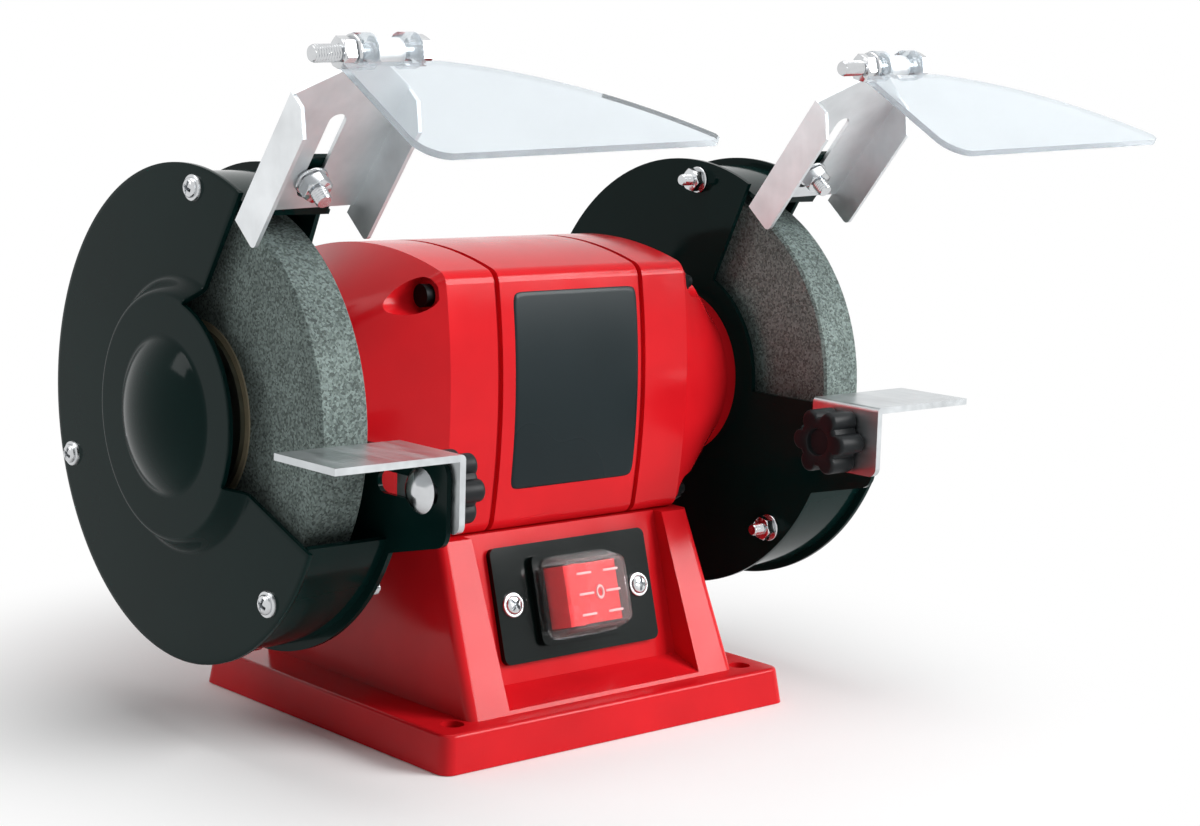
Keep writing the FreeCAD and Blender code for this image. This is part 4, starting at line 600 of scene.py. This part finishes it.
class GRINDER_OT_wheels(bpy.types.Operator):
    """Abrasive wheels, their blotters and flanges"""

    bl_idname = "grinder.wheels"
    bl_label = "Wheels"

    def execute(self, context):
        abrasive = vitrified_abrasive("Grey aluminium oxide", colours().grit, sizes().grit_size)
        dress(abrasive, "left_wheel", "right_wheel")
        flange = zinc_plate("Pressed flange steel", linear("#7B7C6E"), (0.3, 0.5))
        dress(flange, "inner_flanges", "outer_flanges")
        dress(moulded_plastic("Blotter card", linear("#A59A80"), 0.85, 0.6), "wheel_blotters")
        return {"FINISHED"}


class GRINDER_OT_steelwork(bpy.types.Operator):
    """Zinc-plated brackets, tool rests and fasteners"""

    bl_idname = "grinder.steelwork"
    bl_label = "Steelwork"

    def execute(self, context):
        sheet = zinc_plate("Zinc-plated sheet", linear("#E8EBED"), (0.46, 0.58), (1.0, 1.0, 0.12))
        dress(sheet, "left_shield_bracket", "right_shield_bracket", "bottom_plate", "capacitor_clamp")
        rest = zinc_plate("Zinc-plated strip", linear("#CDD1D3"), (0.3, 0.42), (1.0, 0.12, 1.0))
        dress(rest, "left_tool_rest", "right_tool_rest")
        bright = zinc_plate("Zinc-plated fastener", linear("#D2D4D6"), (0.14, 0.26))
        dress(bright, "guard_cover_screws", "guard_cover_nuts", "guard_cover_washers", "guard_mount_screws",
              "bracket_bolts", "bracket_nuts", "left_hinge_bolt", "right_hinge_bolt", "left_rest_bolt",
              "right_rest_bolt", "left_wheel_nut", "right_wheel_nut", "switch_plate_screws",
              "pedestal_screws", "bottom_plate_screws", "capacitor_screws")
        dress(zinc_plate("Black oxide steel", linear("#1B1C1D"), (0.4, 0.55)), "tie_bolts", "tie_nuts")
        return {"FINISHED"}


class GRINDER_OT_shields(bpy.types.Operator):
    """Clear polycarbonate eye shields"""

    bl_idname = "grinder.shields"
    bl_label = "Eye shields"

    def execute(self, context):
        clear = clear_plastic("Clear polycarbonate", linear("#E6ECF0"), 1.12, 0.02, 0.04, 0.22)
        dress(clear, "left_eye_shield", "right_eye_shield")
        return {"FINISHED"}


class GRINDER_OT_switch(bpy.types.Operator):
    """Plastics of the switch, the knobs and the cord gland, and the switch's terminals"""

    bl_idname = "grinder.switch"
    bl_label = "Switch and knobs"

    def execute(self, context):
        gloss = moulded_plastic("Gloss black ABS", linear("#07100F"), 0.08, 1.2, 70.0)
        dress(gloss, "switch_plate", "switch_body")
        dress(moulded_plastic("Red polycarbonate rocker", linear("#E3232A"), 0.2, 0.8), "rocker")
        phenolic = moulded_plastic("Black phenolic", linear("#15181A"), 0.4, 0.5)
        dress(phenolic, "left_rest_knob", "right_rest_knob")
        dress(moulded_plastic("Black rubber", linear("#1A1A1A"), 0.7, 0.4), "cord_gland")
        dress(zinc_plate("Tinned brass", linear("#C8AF78"), (0.2, 0.35)), "switch_terminals")
        return {"FINISHED"}


class GRINDER_OT_inside(bpy.types.Operator):
    """Motor parts inside the housing"""

    bl_idname = "grinder.inside"
    bl_label = "Motor inside"

    def execute(self, context):
        dress(laminated_steel("Electrical steel", linear("#85888C")), "stator_core", "rotor_core")
        dress(varnished_copper("Varnished copper wire", linear("#B4683A")), "stator_windings")
        dress(zinc_plate("Ground bearing steel", linear("#B9BBBE"), (0.1, 0.2)), "motor_shaft", "wave_washer",
              "bearing_outer_rings", "bearing_inner_rings", "bearing_balls")
        dress(zinc_plate("Drawn aluminium can", linear("#C4C6C9"), (0.25, 0.4)), "capacitor")
        return {"FINISHED"}


# Cross heads have a diameter and a height, hexagons a width across flats and a thickness,
# and washers a diameter and a thickness.
M4 = 4 * MM
M4_PITCH = 0.7 * MM
M4_NUT = (7 * MM, 3.2 * MM)
M4_WASHER = (9 * MM, 1 * MM)
M5 = 5 * MM
M5_PITCH = 0.8 * MM
M5_HEAD = (8 * MM, 3.6 * MM)
M5_NUT = (8 * MM, 4 * MM)
M5_WASHER = (10 * MM, 1 * MM)
FASTENER_SMOOTH = 35

GUARD_SCREW_RADIUS = 67 * MM
GUARD_SCREW_ANGLES = (84.0, 198.0, -45.0)
GUARD_SCREW_HEAD = (8 * MM, 2.5 * MM)
GUARD_SCREW_PAST = 8.2 * MM
GUARD_SCREW_THREAD = 9 * MM


def guard_screw_places():
    """Points of the cover screws on the shaft's cross plane, counted from the front over the top."""
    angles = np.radians(GUARD_SCREW_ANGLES)
    return [Vector((0, SHAFT.y - GUARD_SCREW_RADIUS * math.cos(a),
                    SHAFT.z + GUARD_SCREW_RADIUS * math.sin(a))) for a in angles]


class GRINDER_OT_guard_screws(bpy.types.Operator):
    """Cross-head screws, washers and nuts that hold the guard covers"""

    bl_idname = "grinder.guard_screws"
    bl_label = "Guard screws"

    def execute(self, context):
        bright = bpy.data.materials["Zinc-plated fastener"]
        screws = []
        nuts = []
        rings = []
        for side in (-1, 1):
            outward = Vector((side, 0, 0))
            length = COVER_BACK + sizes().sheet - GUARD_BACK + GUARD_SCREW_PAST
            for place in guard_screw_places():
                seat = place + outward * (COVER_BACK + sizes().sheet)
                screws.append(moved(cross_head(*GUARD_SCREW_HEAD), seat, outward, 0.4 * side))
                screws.append(moved(stud(length, M4, GUARD_SCREW_THREAD, M4_PITCH), seat, -outward))
                back = place + outward * GUARD_BACK
                rings.append(moved(washer(*M4_WASHER), back, -outward))
                nuts.append(moved(hexagon(*M4_NUT), back - outward * M4_WASHER[1], -outward, 0.3))
        for name, parts, node in (("guard_screw_set", screws, "guard_cover_screws"),
                                  ("guard_nut_set", nuts, "guard_cover_nuts"),
                                  ("guard_washer_set", rings, "guard_cover_washers")):
            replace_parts(make_piece(name, parts, bright, "frame", FASTENER_SMOOTH), node)
        return {"FINISHED"}


# Along the bracket's lean from the shaft, and forward of the plane through the shaft.
BRACKET_BOLT_REACH = 83.4 * MM
BRACKET_BOLT_SEAT = -14.6 * MM
BRACKET_NUT_SEAT = -11.6 * MM
BRACKET_BOLT_LENGTH = 12 * MM
BRACKET_BOLT_THREAD = 9 * MM

# Along the hinge from its joint's place: the head's seat, and the washer and the nut on the other side.
HINGE_HEAD_SEAT = 14 * MM
HINGE_WASHER_SEAT = -6.2 * MM
HINGE_NUT_SEAT = -10.2 * MM
HINGE_LENGTH = 32.2 * MM
HINGE_THREAD = 13 * MM
HINGE_WASHER = (10 * MM, 1.2 * MM)


class GRINDER_OT_bracket_bolts(bpy.types.Operator):
    """Bolts, washers and nuts that hold the shield brackets, and the shields' hinge bolts"""

    bl_idname = "grinder.bracket_bolts"
    bl_label = "Bracket and hinge bolts"

    def execute(self, context):
        bright = bpy.data.materials["Zinc-plated fastener"]
        bolts = []
        nuts = []
        for side in (-1, 1):
            foot = Vector((side * WHEEL_X, SHAFT.y, SHAFT.z)) + BRACKET_OUTWARD * BRACKET_BOLT_REACH
            seat = foot + BRACKET_FORWARD * BRACKET_BOLT_SEAT
            front = foot + BRACKET_FORWARD * BRACKET_NUT_SEAT
            nut_seat = front + BRACKET_FORWARD * M5_WASHER[1]
            rod = stud(BRACKET_BOLT_LENGTH, M5, BRACKET_BOLT_THREAD, M5_PITCH)
            bolts.append(moved(hexagon(*M5_HEAD), seat, -BRACKET_FORWARD))
            bolts.append(moved(rod, seat, BRACKET_FORWARD))
            nuts.append(moved(washer(*M5_WASHER), front, BRACKET_FORWARD))
            nuts.append(moved(hexagon(*M5_NUT), nut_seat, BRACKET_FORWARD, 0.2))
        for name, parts, node in (("bracket_bolt_set", bolts, "bracket_bolts"),
                                  ("bracket_nut_set", nuts, "bracket_nuts")):
            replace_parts(make_piece(name, parts, bright, "frame", FASTENER_SMOOTH), node)
        for name in ("left", "right"):
            joint = joint_named(name + "_shield_swing")
            place = Vector(joint["pos_m"])
            along = -Vector(joint["axis"])
            head = place + along * HINGE_HEAD_SEAT
            parts = [moved(hexagon(*M5_HEAD), head, along, 0.4),
                     moved(stud(HINGE_LENGTH, M5, HINGE_THREAD, M5_PITCH), head, -along),
                     moved(washer(*HINGE_WASHER), place + along * HINGE_WASHER_SEAT, along),
                     moved(hexagon(*M5_NUT), place + along * HINGE_NUT_SEAT, along, 0.25)]
            piece = make_piece(name + "_hinge_bolt_set", parts, bright, name + "_bracket",
                               FASTENER_SMOOTH)
            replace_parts(piece, name + "_hinge_bolt")
        return {"FINISHED"}


def on_panel(x, up, out):
    """Points from the switch panel's frame to the grinder's."""
    place = np.array(PANEL_PLACE)
    return (place + x[..., None] * np.array([1.0, 0, 0]) + up[..., None] * np.array(PANEL_UP)
            + out[..., None] * np.array(PANEL_OUT))


BOOT_FOOT = np.array([29.5, 26.0]) * MM
BOOT_DRAFT = 2 * MM
BOOT_RISE = 10 * MM
BOOT_BASE = 2 * MM
BOOT_SKIN = 0.8 * MM
BOOT_ROUND = 1.6 * MM
DASH_LENGTH = 6 * MM
DASH_WIDTH = 0.8 * MM
DASH_RISE = 0.35 * MM
DASH_COLUMN = 5.4 * MM
DASH_ROW = 6.4 * MM
RING_RADIUS = 1.3 * MM
RING_STRETCH = 1.4
RING_ROUND = 41
RING_ACROSS = 12
DASH_GRID = 15
BOOT_GRID = 81
# Shares of the way from the boot's middle to its foot at which its flat top and its rounded edge end.
BOOT_FLAT_END = 0.86
BOOT_BEND_END = 0.93
PLATE_SCREW_X = 25.7 * MM
PLATE_SCREW_HEAD = (8 * MM, 2 * MM)
PLATE_SCREW_LENGTH = 8 * MM
PLATE_SCREW_THREAD = 6 * MM
BOOT_TOP = BOOT_BASE + BOOT_RISE - DASH_RISE


def dash(x_middle, y_middle):
    """A low bar: a rounded rectangle with height rise (1 - reach^4) over it and a third of that under it."""
    u, v, reach = squircle(DASH_GRID, DASH_GRID, 6)
    height = DASH_RISE * (1 - reach ** 4)
    x = x_middle + u * DASH_LENGTH / 2
    y = y_middle + v * DASH_WIDTH / 2
    faces = grid_faces(DASH_GRID, DASH_GRID, False)
    return [(on_panel(x, y, BOOT_TOP + height).reshape(-1, 3), faces),
            (on_panel(x, y, BOOT_TOP - height / 3).reshape(-1, 3), faces)]


def dash_ring():
    """An oval ring: (R + r cos b) cos a across, stretched (R + r cos b) sin a up and r sin b out."""
    a, b = np.meshgrid(np.linspace(0, 2 * np.pi, RING_ROUND),
                       np.linspace(0, 2 * np.pi, RING_ACROSS, endpoint=False), indexing="ij")
    reach = RING_RADIUS + DASH_RISE * np.cos(b)
    points = on_panel(reach * np.cos(a), RING_STRETCH * reach * np.sin(a), BOOT_TOP + DASH_RISE * np.sin(b))
    return points.reshape(-1, 3), grid_faces(RING_ROUND, RING_ACROSS, True)


def boot_surface():
    """The splash boot: rounded squares from its flat top out and down to its foot."""
    u, v, reach = squircle(BOOT_GRID, BOOT_GRID, 9)
    scale = np.divide(1.0, reach, out=np.zeros_like(reach), where=reach > 0)
    top = BOOT_FOOT / 2 - BOOT_DRAFT - BOOT_ROUND
    flat = np.clip(reach / BOOT_FLAT_END, 0, 1)
    bend = np.clip((reach - BOOT_FLAT_END) / (BOOT_BEND_END - BOOT_FLAT_END), 0, 1) * np.pi / 2
    wall = np.clip((reach - BOOT_BEND_END) / (1 - BOOT_BEND_END), 0, 1)
    out_x = top[0] * flat + BOOT_ROUND * np.sin(bend) + BOOT_DRAFT * wall
    out_y = top[1] * flat + BOOT_ROUND * np.sin(bend) + BOOT_DRAFT * wall
    x = u * scale * out_x
    y = v * scale * out_y
    rise = BOOT_RISE - DASH_RISE - BOOT_ROUND * (1 - np.cos(bend))
    points = on_panel(x, y, BOOT_BASE + rise * (1 - wall))
    return points.reshape(-1, 3), grid_faces(BOOT_GRID, BOOT_GRID, False)


class GRINDER_OT_switch_boot(bpy.types.Operator):
    """The clear splash boot, the raised dashes on it, and the switch plate's cross-head screws"""

    bl_idname = "grinder.switch_boot"
    bl_label = "Switch boot and screws"

    def execute(self, context):
        clear = clear_plastic("Clear soft vinyl", linear("#FDFAFA"), 1.08, 0.02, 0.03, 0.05)
        boot = make_piece("splash_boot", [boot_surface()], clear, "frame", 50)
        face_towards(boot, PANEL_OUT)
        thicken(boot, BOOT_SKIN, 0)
        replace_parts(boot, "switch_boot")
        # The raised dashes and the ring are coloured pale pink, much lighter than the clear boot round them.
        pale = moulded_plastic("Pale raised marks", linear("#F2BFC0"), 0.35, 0.6)
        marks = [dash_ring()]
        for x in (-DASH_COLUMN, DASH_COLUMN):
            for y in (-DASH_ROW, 0, DASH_ROW):
                marks += dash(x, y)
        make_piece("boot_marks", marks, pale, "frame", 50)
        bright = bpy.data.materials["Zinc-plated fastener"]
        parts = []
        for side, spin in ((-1, 0.5), (1, 1.1)):
            seat = PANEL_PLACE + Vector((side * PLATE_SCREW_X, 0, 0))
            rod = stud(PLATE_SCREW_LENGTH, M4, PLATE_SCREW_THREAD, M4_PITCH)
            parts.append(moved(cross_head(*PLATE_SCREW_HEAD), seat, PANEL_OUT, spin))
            parts.append(moved(rod, seat, -PANEL_OUT))
        screws = make_piece("plate_screw_set", parts, bright, "frame", FASTENER_SMOOTH)
        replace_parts(screws, "switch_plate_screws")
        return {"FINISHED"}


KNOB_LOBES = 6
KNOB_PITCH = 7.75 * MM
KNOB_LOBE = 3.25 * MM
KNOB_EDGE = 1.3 * MM
KNOB_DISH = 1.2 * MM
KNOB_DISH_RADIUS = 4.5 * MM
KNOB_BORE = 3.05 * MM
KNOB_CAP = 2.85 * MM
KNOB_LIP = 0.3 * MM
KNOB_LIP_DROP = 0.2 * MM
KNOB_WAIST = 1.04
KNOB_COLUMNS = 180


def lobed_radius(angle):
    """The knob's outline: p cos f + sqrt(q^2 - p^2 sin^2 f) round a lobe's middle, a circle between lobes."""
    sector = 2 * np.pi / KNOB_LOBES
    off = (angle + sector / 2) % sector - sector / 2
    inside = np.clip(KNOB_LOBE ** 2 - (KNOB_PITCH * np.sin(off)) ** 2, 0, None)
    return np.maximum(KNOB_PITCH * np.cos(off) + np.sqrt(inside), KNOB_PITCH * KNOB_WAIST)


def knob_surface(node, side):
    """Rings along x: a dished face, a rolled lobed edge, the back, and the blind bore for the bolt."""
    low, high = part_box(node)
    place = (low + high) / 2
    thick = high.x - low.x
    start = min(abs(low.x), abs(high.x))
    angle = np.linspace(0, 2 * np.pi, KNOB_COLUMNS, endpoint=False)
    lobes = lobed_radius(angle)
    roll = np.linspace(0, np.pi / 2, 6)
    edge_x = KNOB_EDGE * (1 - np.cos(roll))
    edge_in = KNOB_EDGE * (1 - np.sin(roll))
    face_x = np.array([KNOB_DISH, KNOB_DISH, KNOB_LIP_DROP, 0])
    face_r = np.array([0, KNOB_DISH_RADIUS - KNOB_LIP, KNOB_DISH_RADIUS, KNOB_DISH_RADIUS + KNOB_LIP])
    back_x = np.array([thick, KNOB_CAP, KNOB_CAP])
    back_r = np.array([KNOB_BORE, KNOB_BORE, 0])
    x = np.concatenate([face_x, edge_x, thick - edge_x[::-1], back_x])
    drawn = np.concatenate([edge_in, edge_in[::-1]])
    reach = np.concatenate([np.broadcast_to(face_r[:, None], (len(face_r), KNOB_COLUMNS)),
                            lobes - drawn[:, None],
                            np.broadcast_to(back_r[:, None], (len(back_r), KNOB_COLUMNS))])
    along = np.broadcast_to(side * (start + x)[:, None], reach.shape)
    points = np.stack([along, place.y + reach * np.cos(angle), place.z + reach * np.sin(angle)], axis=-1)
    return points.reshape(-1, 3), grid_faces(len(x), KNOB_COLUMNS, True)


class GRINDER_OT_knobs(bpy.types.Operator):
    """Lobed hand knobs of the tool rests"""

    bl_idname = "grinder.knobs"
    bl_label = "Knobs"

    def execute(self, context):
        phenolic = bpy.data.materials["Black phenolic"]
        for name, side in (("left", -1), ("right", 1)):
            node = name + "_rest_knob"
            knob = make_piece(name + "_lobed_knob", [knob_surface(node, side)], phenolic, name + "_knob",
                              35)
            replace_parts(knob, node)
        return {"FINISHED"}


LABEL_MIDDLE_X = 1.8 * MM
LABEL_MIDDLE_Z = 105 * MM
LABEL_CORNER_POWER = 24
LABEL_THICK = 0.3 * MM
LABEL_RISE = 0.25 * MM
LABEL_EDGE_SINK = 0.4 * MM
LABEL_GRID = 61
HOUSING_BULGE = 3.8 * MM
HOUSING_CORNER_RISE = 42 * MM


def label_surface():
    """The plate: a rounded square over x and z on the housing side's arc y(z), its edge turned under."""
    x_share, z_share, reach = squircle(LABEL_GRID, LABEL_GRID, LABEL_CORNER_POWER)
    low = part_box("stator_housing")[0]
    top = SHAFT.z + HOUSING_CORNER_RISE
    half = (top - low.z) / 2
    radius = (half ** 2 + HOUSING_BULGE ** 2) / (2 * HOUSING_BULGE)
    x = LABEL_MIDDLE_X + x_share * sizes().label_width / 2
    z = LABEL_MIDDLE_Z + z_share * sizes().label_height / 2
    lift = np.where(reach > 0.999, -LABEL_EDGE_SINK, LABEL_RISE)
    y = low.y + radius - np.sqrt(radius ** 2 - (z - (top + low.z) / 2) ** 2) - lift
    return np.stack([x, y, z], axis=-1).reshape(-1, 3), grid_faces(LABEL_GRID, LABEL_GRID, False)


class GRINDER_OT_label(bpy.types.Operator):
    """The bare label plate on the front of the stator housing"""

    bl_idname = "grinder.label"
    bl_label = "Label plate"

    def execute(self, context):
        plate = moulded_plastic("Gloss vinyl label", colours().plate, 0.25, 3.0, 60.0)
        label = make_piece("label_plate", [label_surface()], plate, "frame", 60)
        face_towards(label, (0, -1, 0))
        thicken(label, LABEL_THICK, 0)
        return {"FINISHED"}


class GRINDER_OT_stage(bpy.types.Operator):
    """Pale floor, soft lamps, white surroundings and the camera at the photograph's view"""

    bl_idname = "grinder.stage"
    bl_label = "Stage"

    def execute(self, context):
        lay_floor()
        light_world()
        hang_lamps()
        place_camera()
        context.scene.view_settings.view_transform = "Standard"
        return {"FINISHED"}


def background_rays(tree):
    """One for rays from the camera, a mirror or a clear piece, which see the background, else nought."""
    path = add(tree, "ShaderNodeLightPath")
    seen = add(tree, "ShaderNodeMath", {0: path.outputs["Is Camera Ray"], 1: path.outputs["Is Glossy Ray"]},
               operation="MAXIMUM")
    seen = add(tree, "ShaderNodeMath", {0: seen.outputs[0], 1: path.outputs["Is Transmission Ray"]},
               operation="MAXIMUM")
    return seen.outputs[0]


FLOOR_HALF = 6.0
FLOOR_DROP = 0.2 * MM
SHADOW_FULL = 0.1
SHADOW_GONE = 0.23
WHITE = (1, 1, 1, 1)


def lay_floor():
    """A pale sheet that keeps the shadow near the base and fades to the white background further out."""
    corners = np.array([[-1, -1, 0], [1, -1, 0], [1, 1, 0], [-1, 1, 0]]) * FLOOR_HALF
    mesh = bpy.data.meshes.new("floor")
    mesh.from_pydata(corners - [0, 0, FLOOR_DROP], [], [[0, 1, 2, 3]])
    floor = bpy.data.objects.new("floor", mesh)
    bpy.context.scene.collection.objects.link(floor)
    material, tree = new_material("Pale floor")
    place = add(tree, "ShaderNodeTexCoord").outputs["Object"]
    away = add(tree, "ShaderNodeVectorMath", {0: place}, operation="LENGTH")
    fade = add(tree, "ShaderNodeMapRange", {
        "Value": away.outputs["Value"], "From Min": SHADOW_FULL, "From Max": SHADOW_GONE},
        interpolation_type="SMOOTHSTEP")
    seen = add(tree, "ShaderNodeMath", {0: fade.outputs["Result"], 1: background_rays(tree)},
               operation="MULTIPLY")
    sheet = add(tree, "ShaderNodeBsdfPrincipled", {"Base Color": (0.92, 0.92, 0.92, 1), "Roughness": 0.8})
    white = add(tree, "ShaderNodeEmission", {"Color": WHITE, "Strength": 1.0})
    shader = add(tree, "ShaderNodeMixShader", {0: seen.outputs[0], 1: sheet.outputs[0], 2: white.outputs[0]})
    add(tree, "ShaderNodeOutputMaterial", {"Surface": shader.outputs["Shader"]})
    mesh.materials.append(material)


SOFT_LIGHT = 0.17


def light_world():
    """Soft light from all round, white where the background is seen."""
    world = bpy.data.worlds.new("studio")
    world.use_nodes = True
    tree = world.node_tree
    tree.nodes.clear()
    soft = add(tree, "ShaderNodeBackground", {"Color": WHITE, "Strength": SOFT_LIGHT})
    white = add(tree, "ShaderNodeBackground", {"Color": WHITE, "Strength": 1.0})
    mix = add(tree, "ShaderNodeMixShader", {
        0: background_rays(tree), 1: soft.outputs[0], 2: white.outputs[0]})
    add(tree, "ShaderNodeOutputWorld", {"Surface": mix.outputs[0]})
    bpy.context.scene.world = world


# Name, place in metres, size in metres and power in watts of each soft box.
LAMPS = (("key", (0.75, -0.95, 0.7), 0.7, 20.0),
         ("top", (0.0, 0.05, 1.1), 0.8, 3.8),
         ("edge", (-0.9, 0.35, 0.7), 0.35, 2.0))
LAMP_TARGET = Vector((0.0, 0.0, 0.1))


def hang_lamps():
    """A key at front right, one overhead, and a small one at back left that edges the guards."""
    for name, place, size, power in LAMPS:
        light = bpy.data.lights.new(name, "AREA")
        light.size = size
        light.energy = power
        lamp = bpy.data.objects.new(name, light)
        lamp.location = place
        lamp.rotation_euler = (LAMP_TARGET - Vector(place)).to_track_quat("-Z", "Y").to_euler()
        bpy.context.scene.collection.objects.link(lamp)


CAMERA_PLACE = (-0.4690, -0.5806, 0.2062)
CAMERA_YAW = 41.39
CAMERA_PITCH = 8.62
CAMERA_ROLL = 1.72
FOCAL_PIXELS = 2341.5
IMAGE_WIDTH = 1200
SENSOR_WIDTH = 36.0


def place_camera():
    """The photograph's camera: yaw from +Y towards +X, pitch down, then roll about the view."""
    yaw, pitch, roll = (math.radians(angle) for angle in (CAMERA_YAW, CAMERA_PITCH, CAMERA_ROLL))
    ahead = Vector((math.sin(yaw) * math.cos(pitch), math.cos(yaw) * math.cos(pitch), -math.sin(pitch)))
    right = Vector((math.cos(yaw), -math.sin(yaw), 0))
    up = right.cross(ahead)
    level_right = right * math.cos(roll) + up * math.sin(roll)
    level_up = up * math.cos(roll) - right * math.sin(roll)
    data = bpy.data.cameras.new("photo")
    data.sensor_fit = "HORIZONTAL"
    data.sensor_width = SENSOR_WIDTH
    data.lens = FOCAL_PIXELS / IMAGE_WIDTH * SENSOR_WIDTH
    data.clip_start = 0.01
    camera = bpy.data.objects.new("photo", data)
    turn = Matrix((level_right, level_up, -ahead)).transposed()
    camera.matrix_world = Matrix.Translation(CAMERA_PLACE) @ turn.to_4x4()
    bpy.context.scene.collection.objects.link(camera)
    bpy.context.scene.camera = camera


class GRINDER_PT_panel(bpy.types.Panel):
    """Lists the grinder's pieces and sizes"""

    bl_idname = "GRINDER_PT_panel"
    bl_label = "Bench grinder"
    bl_space_type = "VIEW_3D"
    bl_region_type = "UI"
    bl_category = "Grinder"

    def draw(self, context):
        for settings in (context.scene.grinder_colours, context.scene.grinder_sizes):
            for name in settings.bl_rna.properties.keys():
                if name not in ("rna_type", "name"):
                    self.layout.prop(settings, name)
        for operator in OPERATORS:
            self.layout.operator(operator.bl_idname)


OPERATORS = (GRINDER_OT_enamel, GRINDER_OT_guards, GRINDER_OT_wheels, GRINDER_OT_steelwork,
             GRINDER_OT_guard_screws, GRINDER_OT_bracket_bolts, GRINDER_OT_shields, GRINDER_OT_switch,
             GRINDER_OT_switch_boot, GRINDER_OT_knobs, GRINDER_OT_inside, GRINDER_OT_label,
             GRINDER_OT_stage)
CLASSES = (GrinderColours, GrinderSizes) + OPERATORS + (GRINDER_PT_panel,)


def register():
    """Register the classes and hang their settings on the scene."""
    for cls in CLASSES:
        bpy.utils.register_class(cls)
    bpy.types.Scene.grinder_colours = bpy.props.PointerProperty(type=GrinderColours)
    bpy.types.Scene.grinder_sizes = bpy.props.PointerProperty(type=GrinderSizes)


def unregister():
    """Take the settings off the scene and unregister the classes."""
    del bpy.types.Scene.grinder_sizes
    del bpy.types.Scene.grinder_colours
    for cls in reversed(CLASSES):
        bpy.utils.unregister_class(cls)


def main():
    """Make every piece and the stage."""
    register()
    bpy.ops.grinder.enamel()
    bpy.ops.grinder.guards()
    bpy.ops.grinder.wheels()
    bpy.ops.grinder.steelwork()
    bpy.ops.grinder.guard_screws()
    bpy.ops.grinder.bracket_bolts()
    bpy.ops.grinder.shields()
    bpy.ops.grinder.switch()
    bpy.ops.grinder.switch_boot()
    bpy.ops.grinder.knobs()
    bpy.ops.grinder.inside()
    bpy.ops.grinder.label()
    bpy.ops.grinder.stage()


if __name__ == "__main__":
    main()
